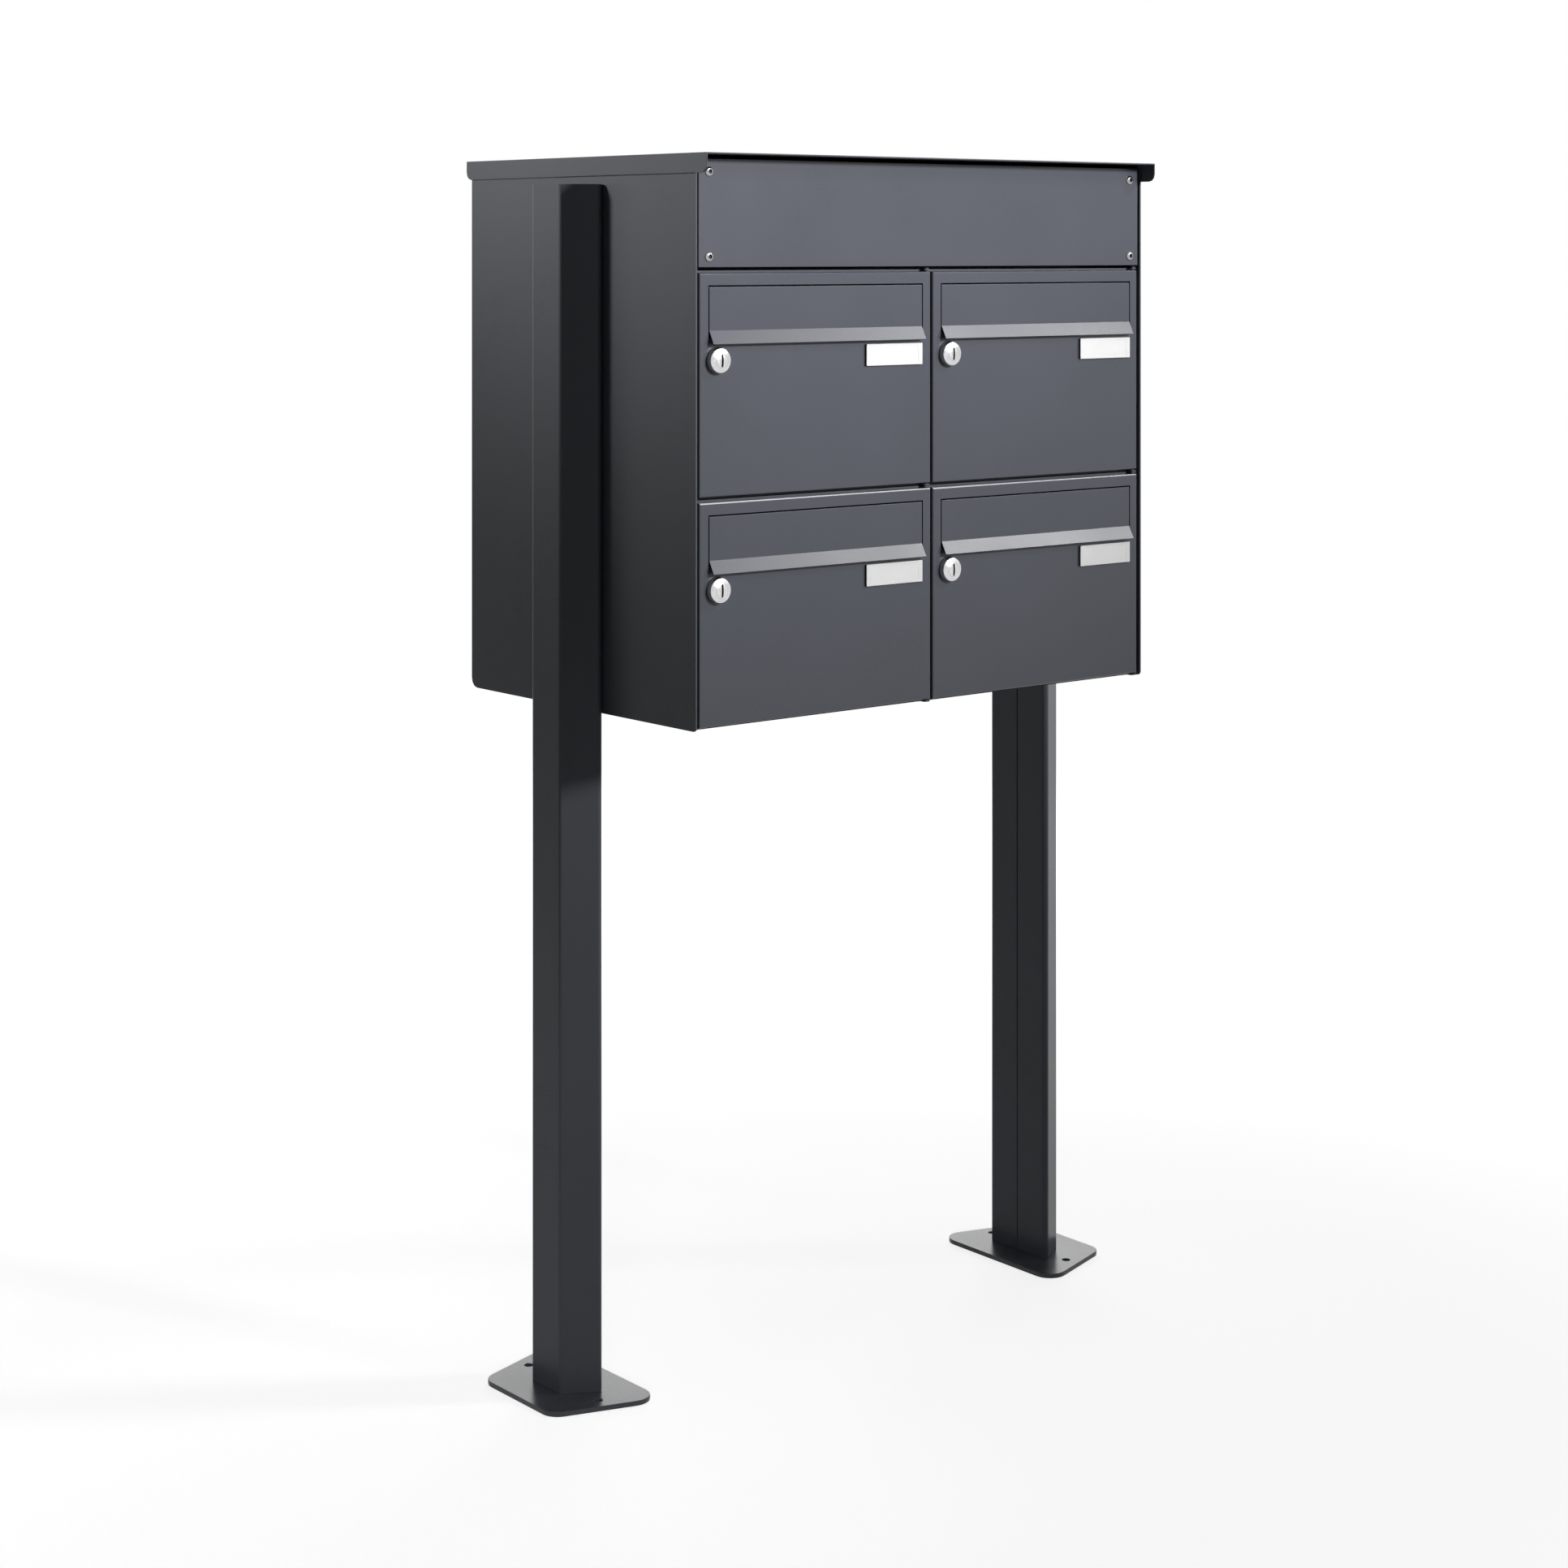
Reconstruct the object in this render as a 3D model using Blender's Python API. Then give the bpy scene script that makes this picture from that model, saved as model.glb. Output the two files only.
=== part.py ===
"""Cluster mailbox: four letterboxes in a clad cabinet that two floor posts carry.

Lengths are in metres, +Z is up, the doors face -Y. The origin is on the ground,
in the middle of the unit's footprint.
"""

import math

import bmesh
import bpy
from mathutils import Vector

# Clearances
FIT_GAP = 0.0003  # between pieces that touch
SWING_GAP = 0.0004  # between pieces that move past each other
OVERCUT = 0.002  # how far a cutter runs past the face that it opens

# Letterbox grid
MODULE_W = 0.300  # pitch of the columns
MODULE_H = 0.220  # pitch of the rows
BOX_SPACING = 0.0008  # between neighbouring letterbox bodies
BOX_D = 0.375
BOX_WALL = 0.001
BOX_RIM = 0.005  # rim round a letterbox's mouth
STRIKE_RIM = 0.009  # wider rim on the lock side, which the cam catches behind
CABINET_LIFT = 0.6764  # ground to the underside of the lower letterboxes

# Doors
DOOR_GAP_X = 0.0028
DOOR_GAP_Z = 0.0052
DOOR_T = 0.0012
DOOR_RETURN = 0.0055  # depth of the folded edges
DOOR_EDGE_R = 0.002

# Door hinges
HINGE_PIN_R = 0.0015
HINGE_WALL = 0.0012  # round the pin's hole
HINGE_BARREL_L = 0.012
HINGE_PIN_REACH = 0.009  # how far a pin enters a door
HINGE_HEAD_R = 0.0026
HINGE_HEAD_T = 0.0012
BARREL_INSET = 0.0004  # barrel behind the door's outer faces
TAB_W = 0.0075  # hinge tab on a letterbox, measured along its front

# Letter flaps
FLAP_INSET = 0.01215  # flap's ends in from the door's edges
FLAP_H = 0.0423  # top edge to bend line
FLAP_DROP = 0.0133  # below the door's top edge
FLAP_T = 0.0012
FLAP_SIDE_GAP = 0.0013
FLAP_TOP_SPARE = 0.0005  # over the flap, beyond what its swing needs
FLAP_EDGE_R = 0.001
LIP_L = 0.0146
LIP_ANGLE = math.radians(28.0)
FINGER_GAP = 0.0064  # slot below the bend line, behind the lip
FLAP_PIN_R = 0.0015
FLAP_AXIS_DROP = 0.005  # pin below the flap's top edge
KNUCKLE_WALL = 0.001
KNUCKLE_INSET = 0.0001  # knuckle behind the flap's front face
KNUCKLE_SETBACK = 0.0008  # knuckle in from the flap's ends
EAR_T = 0.0012
EAR_WALL = 0.0015
FLAP_PIN_PROUD = 0.0006  # pin past its ears

# Locks
LOCK_INSET = 0.0215  # from the door's left edge
LOCK_DROP = 0.084  # below the door's top edge
LOCK_RIM_R = 0.0130
LOCK_RIM_T = 0.0018
LOCK_CAP_R = 0.0122
LOCK_FACE_R = 0.0105
LOCK_PROUD = 0.0088
LOCK_DOME = 0.0022  # how far the face is rounded back at its edge
LOCK_NECK_R = 0.0092
PLUG_HEAD_R = 0.0072
PLUG_HEAD_T = 0.0040
PLUG_R = 0.0062
PLUG_RECESS = 0.0002
KEY_SLOT_W = 0.002
KEY_SLOT_H = 0.0122
KEY_SLOT_D = 0.0036
SHANK = 0.006  # square end that carries the cam
SHANK_PROUD = 0.001
CAM_T = 0.002
CAM_HEAD_R = 0.0075
CAM_TIP_R = 0.0045
CAM_TIP_CLEAR = 0.0025  # cam tip to the letterbox wall

# Name plates
NAME_W = 0.075
NAME_H = 0.022
NAME_INSET = 0.0133  # from the door's right edge
NAME_DROP = 0.072  # below the door's top edge
NAME_PROUD = 0.0026
NAME_BEVEL = 0.0009
NAME_FRAME = 0.0022
CARD_T = 0.0004

# Header plate and its frame
HEADER_H = 0.1045
HEADER_T = 0.002
HEADER_EDGE_R = 0.0008
FRAME_T = 0.0012
FRAME_INSET = 0.003  # frame behind the plate's edges
FRAME_D = 0.042
FRAME_FOOT = 0.016
SCREW_INSET_X = 0.0126
SCREW_RISE = 0.0102  # above the plate's lower edge
SCREW_DROP = 0.0127  # below its upper edge
SCREW_R = 0.0025
SCREW_L = 0.009
SCREW_HEAD_R = 0.00475
SCREW_HEAD_H = 0.0028
SOCKET_R = 0.0017
SOCKET_D = 0.0015

# Cladding
SIDE_GAP = 0.0022  # letterboxes to the side panels' skins
SIDE_T = 0.002
SIDE_PROUD = 0.0008  # side panel's front edge past the doors' faces
SIDE_DROP = 0.0006  # side panel's lower edge below the letterboxes' underside
SIDE_FRONT_R = 0.004
SIDE_BACK_R = 0.010
BACK_T = 0.0015
BACK_FLANGE = 0.015
ROOF_GAP = 0.0036  # open gap over the header plate
ROOF_T = 0.0015
ROOF_LIP = 0.0195
ROOF_LIP_R = 0.008
ROOF_FRONT = 0.0202  # roof in front of the doors' faces
ROOF_BACK = 0.0075  # roof behind the cabinet

# Posts, base plates and the bolts that hold the cabinet
POST_DROP = 0.0082  # post's top below the roof's side lips
POST_IN_W = 0.0951
POST_OUT_W = 0.0482
POST_D = 0.0387
POST_WALL = 0.003
POST_BEND_R = 0.0045
POST_CAP_T = 0.003
POST_SEAM = 0.0015
BASE_T = 0.005
BASE_D = 0.109
BASE_IN_W = 0.188
BASE_OUT_W = 0.1175
BASE_OUTREACH = 0.035  # plate past the post's outer face
BASE_R = 0.019
BASE_HOLE_R = 0.0045
BASE_HOLE_PITCH = 0.120
BASE_HOLE_X = 0.018  # holes out from the post's inner face
BOLT_R = 0.004
BOLT_HEAD_R = 0.008
BOLT_HEAD_H = 0.0042
BOLT_CROWN_R = 0.0056
BOLT_THREAD = 0.008  # past the post's wall

# Facets
ROUND = 16
ROUND_FINE = 24
ARC_STEPS = 3

# Sizes worked out from the ones above
BOX_W = MODULE_W - BOX_SPACING
BOX_H = MODULE_H - BOX_SPACING
DOOR_W = MODULE_W - DOOR_GAP_X
DOOR_H = MODULE_H - DOOR_GAP_Z
BARREL_R = HINGE_PIN_R + FIT_GAP + HINGE_WALL
HINGE_X = DOOR_W / 2 - BARREL_R - BARREL_INSET
HINGE_Y = BARREL_R + BARREL_INSET
HINGE_SWEEP = max(math.hypot(DOOR_W / 2 - HINGE_X, DOOR_RETURN - HINGE_Y), BARREL_R)
BOX_FRONT = HINGE_Y + HINGE_SWEEP + SWING_GAP
BOX_BACK = BOX_FRONT + BOX_D
CABINET_BACK = BOX_BACK + FIT_GAP + BACK_T
STACK_HALF = MODULE_W - BOX_SPACING / 2
FLANGE_X = STACK_HALF + FIT_GAP
OUTER_HALF = STACK_HALF + SIDE_GAP + SIDE_T

FLAP_W = DOOR_W - 2 * FLAP_INSET
FLAP_TOP_Z = DOOR_H / 2 - FLAP_DROP
BEND_Z = FLAP_TOP_Z - FLAP_H
KNUCKLE_R = FLAP_PIN_R + FIT_GAP + KNUCKLE_WALL
FLAP_AXIS_Y = KNUCKLE_R + KNUCKLE_INSET
FLAP_AXIS_Z = FLAP_TOP_Z - FLAP_AXIS_DROP
FLAP_SWEEP = math.hypot(FLAP_AXIS_Y - FLAP_EDGE_R, FLAP_AXIS_DROP - FLAP_EDGE_R) + FLAP_EDGE_R
FLAP_TOP_GAP = FLAP_SWEEP - FLAP_AXIS_DROP + SWING_GAP + FLAP_TOP_SPARE
CUTOUT_HALF = FLAP_W / 2 + FLAP_SIDE_GAP

LOCK_X = -DOOR_W / 2 + LOCK_INSET
LOCK_Z = DOOR_H / 2 - LOCK_DROP
CAM_Y = BOX_FRONT + BOX_WALL + SWING_GAP
CAM_L = LOCK_INSET + (BOX_W - DOOR_W) / 2 - BOX_WALL - CAM_TIP_CLEAR
NECK_END = CAM_Y - FIT_GAP
PLUG_STEP = -LOCK_PROUD + PLUG_RECESS + PLUG_HEAD_T

NAME_RIGHT = DOOR_W / 2 - NAME_INSET
NAME_TOP = DOOR_H / 2 - NAME_DROP

ROW_Z = (CABINET_LIFT + BOX_H / 2, CABINET_LIFT + BOX_H / 2 + MODULE_H)
COLUMN_X = (-MODULE_W / 2, MODULE_W / 2)
STACK_TOP = ROW_Z[1] + BOX_H / 2
HEADER_HALF = STACK_HALF
HEADER_Z = ROW_Z[1] + DOOR_H / 2 + DOOR_GAP_Z
HEADER_TOP = HEADER_Z + HEADER_H
ROOF_UNDER = HEADER_TOP + ROOF_GAP
ROOF_TOP = ROOF_UNDER + ROOF_T
ROOF_HALF = OUTER_HALF + FIT_GAP + ROOF_T
ROOF_LOW = ROOF_TOP - ROOF_LIP
ROOF_REAR = CABINET_BACK + ROOF_BACK
SIDE_TOP = ROOF_UNDER - FIT_GAP
SIDE_BOTTOM = CABINET_LIFT - SIDE_DROP
POST_X = OUTER_HALF + FIT_GAP
POST_Y = CABINET_BACK / 2
POST_FOOT = BASE_T + FIT_GAP
POST_TOP = ROOF_LOW - POST_DROP
BASE_X = POST_X + POST_D + BASE_OUTREACH
DOOR_Y = (ROOF_FRONT - ROOF_REAR) / 2

COLUMNS = ("left", "right")
ROWS = ("lower", "upper")


def clear_scene():
    for item in list(bpy.data.objects):
        bpy.data.objects.remove(item, do_unlink=True)


def finish_material(name, colour, roughness, metallic, alpha=1.0):
    material = bpy.data.materials.new(name)
    material.use_nodes = True
    shader = material.node_tree.nodes["Principled BSDF"]
    shader.inputs["Base Color"].default_value = (*colour, 1.0)
    shader.inputs["Roughness"].default_value = roughness
    shader.inputs["Metallic"].default_value = metallic
    shader.inputs["Alpha"].default_value = alpha
    material.diffuse_color = (*colour, alpha)
    return material


# Outlines, as lists of 2D points

def circle(across, along, radius, steps=ROUND):
    turn = 2 * math.pi / steps
    return [
        (across + radius * math.cos(turn * (n + 0.5)), along + radius * math.sin(turn * (n + 0.5)))
        for n in range(steps)
    ]


def rounded(points, radii, steps=ARC_STEPS):
    """Outline with its corners rounded; radii gives one radius for each point."""
    outline = []
    count = len(points)
    for n, radius in enumerate(radii):
        corner = Vector(points[n])
        if radius <= 0:
            outline.append(tuple(corner))
            continue
        before = (Vector(points[n - 1]) - corner).normalized()
        after = (Vector(points[(n + 1) % count]) - corner).normalized()
        half = before.angle(after) / 2
        start = corner + before * (radius / math.tan(half))
        centre = corner + (before + after).normalized() * (radius / math.sin(half))
        arm = start - centre
        turn = math.pi - 2 * half
        sign = 1 if before.x * after.y - before.y * after.x < 0 else -1
        for step in range(steps + 1):
            angle = sign * turn * step / steps
            cos, sin = math.cos(angle), math.sin(angle)
            outline.append((centre.x + arm.x * cos - arm.y * sin, centre.y + arm.x * sin + arm.y * cos))
    return outline


def inset(points, distance):
    """Corners of a convex, anticlockwise outline moved inward by distance."""
    moved = []
    count = len(points)
    for n in range(count):
        before = (Vector(points[n]) - Vector(points[n - 1])).normalized()
        after = (Vector(points[(n + 1) % count]) - Vector(points[n])).normalized()
        normal = Vector((-before.y - after.y, before.x + after.x)).normalized()
        reach = distance / (normal.x * -before.y + normal.y * before.x)
        moved.append(tuple(Vector(points[n]) + normal * reach))
    return moved


def folded(path, thickness):
    """Outline of a sheet bent along path: its left side forward, then its right side back."""
    sides = ([], [])
    for n, point in enumerate(path):
        here = Vector(point)
        before = (here - Vector(path[n - 1])).normalized() if n else None
        after = (Vector(path[n + 1]) - here).normalized() if n + 1 < len(path) else None
        first = before or after
        second = after or before
        normal = Vector((-first.y - second.y, first.x + second.x)).normalized()
        reach = thickness / 2 / (normal.x * -first.y + normal.y * first.x)
        sides[0].append(tuple(here + normal * reach))
        sides[1].append(tuple(here - normal * reach))
    return sides[0] + sides[1][::-1]


# Solids, as meshes

def to_axes(axis, across, along, depth):
    """Point with depth along axis, and across and along in the other two axes, in X, Y, Z order."""
    if axis == "X":
        return (depth, across, along)
    if axis == "Y":
        return (across, depth, along)
    return (across, along, depth)


def mesh_from(work, name="solid"):
    bmesh.ops.recalc_face_normals(work, faces=work.faces)
    mesh = bpy.data.meshes.new(name)
    work.to_mesh(mesh)
    work.free()
    return mesh


def prism(outline, axis, low, high):
    work = bmesh.new()
    base = [work.verts.new(to_axes(axis, *point, low)) for point in outline]
    face = work.faces.new(base)
    grown = bmesh.ops.extrude_face_region(work, geom=[face])["geom"]
    shift = Vector(to_axes(axis, 0, 0, high - low))
    bmesh.ops.translate(work, vec=shift, verts=[v for v in grown if isinstance(v, bmesh.types.BMVert)])
    return mesh_from(work)


def block(low, high):
    outline = [(low[0], low[1]), (high[0], low[1]), (high[0], high[1]), (low[0], high[1])]
    return prism(outline, "Z", low[2], high[2])


def rod(axis, across, along, radius, low, high, steps=ROUND):
    return prism(circle(across, along, radius, steps), axis, low, high)


def turned(profile, axis, across=0.0, along=0.0, steps=ROUND):
    """Closed profile of (radius, depth) points turned about a line along axis."""
    work = bmesh.new()
    rings = []
    for radius, depth in profile:
        if radius <= 0:
            rings.append([work.verts.new(to_axes(axis, across, along, depth))])
            continue
        points = circle(across, along, radius, steps)
        rings.append([work.verts.new(to_axes(axis, *point, depth)) for point in points])
    open_ended = len(rings[0]) == 1
    pairs = len(rings) - 1 if open_ended else len(rings)
    for n in range(pairs):
        first, second = rings[n], rings[(n + 1) % len(rings)]
        for step in range(steps):
            follow = (step + 1) % steps
            corners = [first[step % len(first)], first[follow % len(first)]]
            corners += [second[follow % len(second)], second[step % len(second)]]
            work.faces.new(list(dict.fromkeys(corners)))
    return mesh_from(work)


def bevelled(mesh, radius, wanted, steps=ARC_STEPS):
    """Mesh with a rounded edge wherever wanted(first point, second point) holds."""
    work = bmesh.new()
    work.from_mesh(mesh)
    edges = [edge for edge in work.edges if wanted(edge.verts[0].co, edge.verts[1].co)]
    bmesh.ops.bevel(
        work, geom=edges, offset=radius, segments=steps, profile=0.5, affect="EDGES", clamp_overlap=True
    )
    return mesh_from(work)


def combined(mesh, tools, operation):
    """Mesh after each tool has been joined to it (UNION) or cut out of it (DIFFERENCE)."""
    for tool in tools:
        body = bpy.data.objects.new("body", mesh)
        cutter = bpy.data.objects.new("cutter", tool)
        for item in (body, cutter):
            bpy.context.collection.objects.link(item)
        change = body.modifiers.new("change", "BOOLEAN")
        change.operation = operation
        change.solver = "EXACT"
        change.object = cutter
        graph = bpy.context.evaluated_depsgraph_get()
        mesh = bpy.data.meshes.new_from_object(body.evaluated_get(graph))
        bpy.data.objects.remove(body)
        bpy.data.objects.remove(cutter)
    return mesh


def cut(mesh, *tools):
    return combined(mesh, tools, "DIFFERENCE")


def join(mesh, *tools):
    return combined(mesh, tools, "UNION")


# Placing

def add_axis(name, place, parent=None):
    """Empty on a joint's axis, at a place in the unit's frame."""
    empty = bpy.data.objects.new(name, None)
    bpy.context.collection.objects.link(empty)
    attach(empty, place, parent)
    empty["place"] = tuple(place)
    return empty


def attach(item, place, parent):
    item.location = place
    if parent is not None:
        item.parent = parent
        item.location = Vector(place) - Vector(parent["place"])


def add_piece(name, mesh, material, place, parent=None, smooth_angle=40.0):
    piece = bpy.data.objects.new(name, mesh)
    bpy.context.collection.objects.link(piece)
    attach(piece, place, parent)
    if not mesh.materials:
        mesh.name = name
        mesh.materials.append(material)
        mesh.shade_smooth()
        mesh.set_sharp_from_angle(angle=math.radians(smooth_angle))
    return piece


# Letterbox body, in the module's frame: x and z from its middle, y from the door's face

def letterbox_mesh():
    half_w, half_h = BOX_W / 2, BOX_H / 2
    shell = block((-half_w, BOX_FRONT, -half_h), (half_w, BOX_BACK, half_h))
    for low, high in ((-half_h, -half_h + BOX_WALL), (half_h - BOX_WALL, half_h)):
        tab_right = HINGE_X + BARREL_R
        tab_front = HINGE_Y - BARREL_R
        outline = [
            (tab_right - TAB_W, BOX_FRONT + OVERCUT),
            (tab_right - TAB_W, tab_front),
            (tab_right, tab_front),
            (tab_right, BOX_FRONT + OVERCUT),
        ]
        outline = rounded(outline, (0, HINGE_WALL, HINGE_WALL, 0))
        shell = join(shell, prism(outline, "Z", low, high))
    cavity = block(
        (-half_w + BOX_WALL, BOX_FRONT + BOX_WALL, -half_h + BOX_WALL),
        (half_w - BOX_WALL, BOX_BACK - BOX_WALL, half_h - BOX_WALL),
    )
    mouth = block(
        (-half_w + STRIKE_RIM, BOX_FRONT - OVERCUT, -half_h + BOX_RIM),
        (half_w - BOX_RIM, BOX_FRONT + OVERCUT, half_h - BOX_RIM),
    )
    pin_hole = rod("Z", HINGE_X, HINGE_Y, HINGE_PIN_R + FIT_GAP, -half_h - OVERCUT, half_h + OVERCUT)
    bolt_hole = rod("X", POST_Y, 0, BOLT_R + FIT_GAP, -half_w - OVERCUT, half_w + OVERCUT)
    return cut(shell, cavity, mouth, pin_hole, bolt_hole)


# Door and what rides on it, in the module's frame

def door_mesh():
    half_w, half_h = DOOR_W / 2, DOOR_H / 2
    pan = block((-half_w, 0, -half_h), (half_w, DOOR_RETURN, half_h))
    pan = bevelled(pan, DOOR_EDGE_R, lambda a, b: a.y < FIT_GAP and b.y < FIT_GAP)
    pan = cut(
        pan,
        block(
            (-half_w + DOOR_T, DOOR_T, -half_h + DOOR_T),
            (half_w - DOOR_T, DOOR_RETURN + OVERCUT, half_h - DOOR_T),
        ),
    )
    ear_reach = FLAP_PIN_R + FIT_GAP + EAR_WALL
    ears = [
        block(
            (min(side, side + out), DOOR_T / 2, FLAP_AXIS_Z - ear_reach),
            (max(side, side + out), FLAP_AXIS_Y + ear_reach, FLAP_AXIS_Z + ear_reach),
        )
        for side, out in ((-CUTOUT_HALF, -EAR_T), (CUTOUT_HALF, EAR_T))
    ]
    barrels = [
        rod("Z", HINGE_X, HINGE_Y, BARREL_R, low, low + HINGE_BARREL_L)
        for low in (-half_h + DOOR_T / 2, half_h - DOOR_T / 2 - HINGE_BARREL_L)
    ]
    pan = join(pan, *ears, *barrels)
    cutout = block(
        (-CUTOUT_HALF, -OVERCUT, BEND_Z - FINGER_GAP),
        (CUTOUT_HALF, DOOR_T + OVERCUT, FLAP_TOP_Z + FLAP_TOP_GAP),
    )
    flap_pin_hole = rod(
        "X", FLAP_AXIS_Y, FLAP_AXIS_Z, FLAP_PIN_R + FIT_GAP,
        -CUTOUT_HALF - EAR_T - OVERCUT, CUTOUT_HALF + EAR_T + OVERCUT,
    )
    lock_hole = rod("Y", LOCK_X, LOCK_Z, LOCK_NECK_R + FIT_GAP, -OVERCUT, DOOR_T + OVERCUT)
    hole_depth = HINGE_PIN_REACH + FIT_GAP
    pin_holes = [
        rod("Z", HINGE_X, HINGE_Y, HINGE_PIN_R + FIT_GAP, low, high)
        for low, high in ((-half_h - OVERCUT, -half_h + hole_depth), (half_h - hole_depth, half_h + OVERCUT))
    ]
    return cut(pan, cutout, flap_pin_hole, lock_hole, *pin_holes)


def flap_mesh():
    middle = FLAP_T / 2
    tip = (middle - LIP_L * math.sin(LIP_ANGLE), BEND_Z - LIP_L * math.cos(LIP_ANGLE))
    outline = folded([(middle, FLAP_TOP_Z), (middle, BEND_Z), tip], FLAP_T)
    radii = [0] * len(outline)
    radii[-1] = FLAP_EDGE_R
    plate = prism(rounded(outline, radii), "X", -FLAP_W / 2, FLAP_W / 2)
    reach = FLAP_W / 2 - KNUCKLE_SETBACK
    knuckle = rod("X", FLAP_AXIS_Y, FLAP_AXIS_Z, KNUCKLE_R, -reach, reach)
    bore = rod("X", FLAP_AXIS_Y, FLAP_AXIS_Z, FLAP_PIN_R + FIT_GAP, -FLAP_W, FLAP_W)
    return cut(join(plate, knuckle), bore)


def flap_pin_mesh():
    reach = CUTOUT_HALF + EAR_T + FLAP_PIN_PROUD
    return rod("X", FLAP_AXIS_Y, FLAP_AXIS_Z, FLAP_PIN_R, -reach, reach)


def lock_body_mesh():
    bore = PLUG_R + FIT_GAP
    counterbore = PLUG_HEAD_R + FIT_GAP
    profile = [(counterbore, -LOCK_PROUD), (LOCK_FACE_R - LOCK_DOME, -LOCK_PROUD)]
    for step in range(1, ARC_STEPS + 1):
        angle = math.pi / 2 * step / ARC_STEPS
        radius = LOCK_FACE_R - LOCK_DOME + (LOCK_CAP_R - LOCK_FACE_R + LOCK_DOME) * math.sin(angle)
        profile.append((radius, -LOCK_PROUD + LOCK_DOME * (1 - math.cos(angle))))
    profile += [
        (LOCK_CAP_R, -LOCK_RIM_T),
        (LOCK_RIM_R, -LOCK_RIM_T),
        (LOCK_RIM_R, -FIT_GAP),
        (LOCK_NECK_R, -FIT_GAP),
        (LOCK_NECK_R, NECK_END),
        (bore, NECK_END),
        (bore, PLUG_STEP + FIT_GAP),
        (counterbore, PLUG_STEP + FIT_GAP),
    ]
    return turned(profile, "Y", LOCK_X, LOCK_Z, ROUND_FINE)


def lock_plug_mesh():
    face = -LOCK_PROUD + PLUG_RECESS
    profile = [
        (0, face),
        (PLUG_HEAD_R, face),
        (PLUG_HEAD_R, PLUG_STEP),
        (PLUG_R, PLUG_STEP),
        (PLUG_R, NECK_END),
        (0, NECK_END),
    ]
    plug = turned(profile, "Y", LOCK_X, LOCK_Z, ROUND_FINE)
    shank = block(
        (LOCK_X - SHANK / 2, NECK_END - OVERCUT, LOCK_Z - SHANK / 2),
        (LOCK_X + SHANK / 2, CAM_Y + CAM_T + SHANK_PROUD, LOCK_Z + SHANK / 2),
    )
    key_slot = block(
        (LOCK_X - KEY_SLOT_W / 2, face - OVERCUT, LOCK_Z - KEY_SLOT_H / 2),
        (LOCK_X + KEY_SLOT_W / 2, face + KEY_SLOT_D, LOCK_Z + KEY_SLOT_H / 2),
    )
    return cut(join(plug, shank), key_slot)


def lock_cam_mesh():
    """Flat cam that hangs down when unlocked; a quarter turn brings its tip behind the strike rim."""
    outline = []
    tip_z = LOCK_Z - CAM_L + CAM_TIP_R
    for centre_z, radius, start in ((LOCK_Z, CAM_HEAD_R, 0.0), (tip_z, CAM_TIP_R, math.pi)):
        for step in range(2 * ARC_STEPS + 1):
            angle = start + math.pi * step / (2 * ARC_STEPS)
            outline.append((LOCK_X + radius * math.cos(angle), centre_z + radius * math.sin(angle)))
    hole = SHANK / 2 + FIT_GAP
    square = block(
        (LOCK_X - hole, CAM_Y - OVERCUT, LOCK_Z - hole), (LOCK_X + hole, CAM_Y + CAM_T + OVERCUT, LOCK_Z + hole)
    )
    return cut(prism(outline, "Y", CAM_Y, CAM_Y + CAM_T), square)


def name_cover_mesh():
    left, bottom = NAME_RIGHT - NAME_W, NAME_TOP - NAME_H
    cover = block((left, -NAME_PROUD, bottom), (NAME_RIGHT, -FIT_GAP, NAME_TOP))
    front = -NAME_PROUD + FIT_GAP
    cover = bevelled(cover, NAME_BEVEL, lambda a, b: a.y < front and b.y < front, steps=1)
    pocket = block(
        (left + NAME_FRAME, -CARD_T - 3 * FIT_GAP, bottom + NAME_FRAME),
        (NAME_RIGHT - NAME_FRAME, OVERCUT, NAME_TOP - NAME_FRAME),
    )
    return cut(cover, pocket)


def name_card_mesh():
    edge = NAME_FRAME + FIT_GAP
    return block(
        (NAME_RIGHT - NAME_W + edge, -CARD_T - 2 * FIT_GAP, NAME_TOP - NAME_H + edge),
        (NAME_RIGHT - edge, -2 * FIT_GAP, NAME_TOP - edge),
    )


def hinge_pin_mesh(low, high, headed=False):
    """Hinge pin between two heights, plain or with a head on its upper end."""
    profile = [(0, low), (HINGE_PIN_R, low), (HINGE_PIN_R, high), (0, high)]
    if headed:
        shoulder = high - HINGE_HEAD_T
        profile[2:3] = [(HINGE_PIN_R, shoulder), (HINGE_HEAD_R, shoulder), (HINGE_HEAD_R, high)]
    return turned(profile, "Z", HINGE_X, HINGE_Y)


# Cladding, header and posts, in the cabinet's frame: z from the ground, y from the doors' faces

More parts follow.
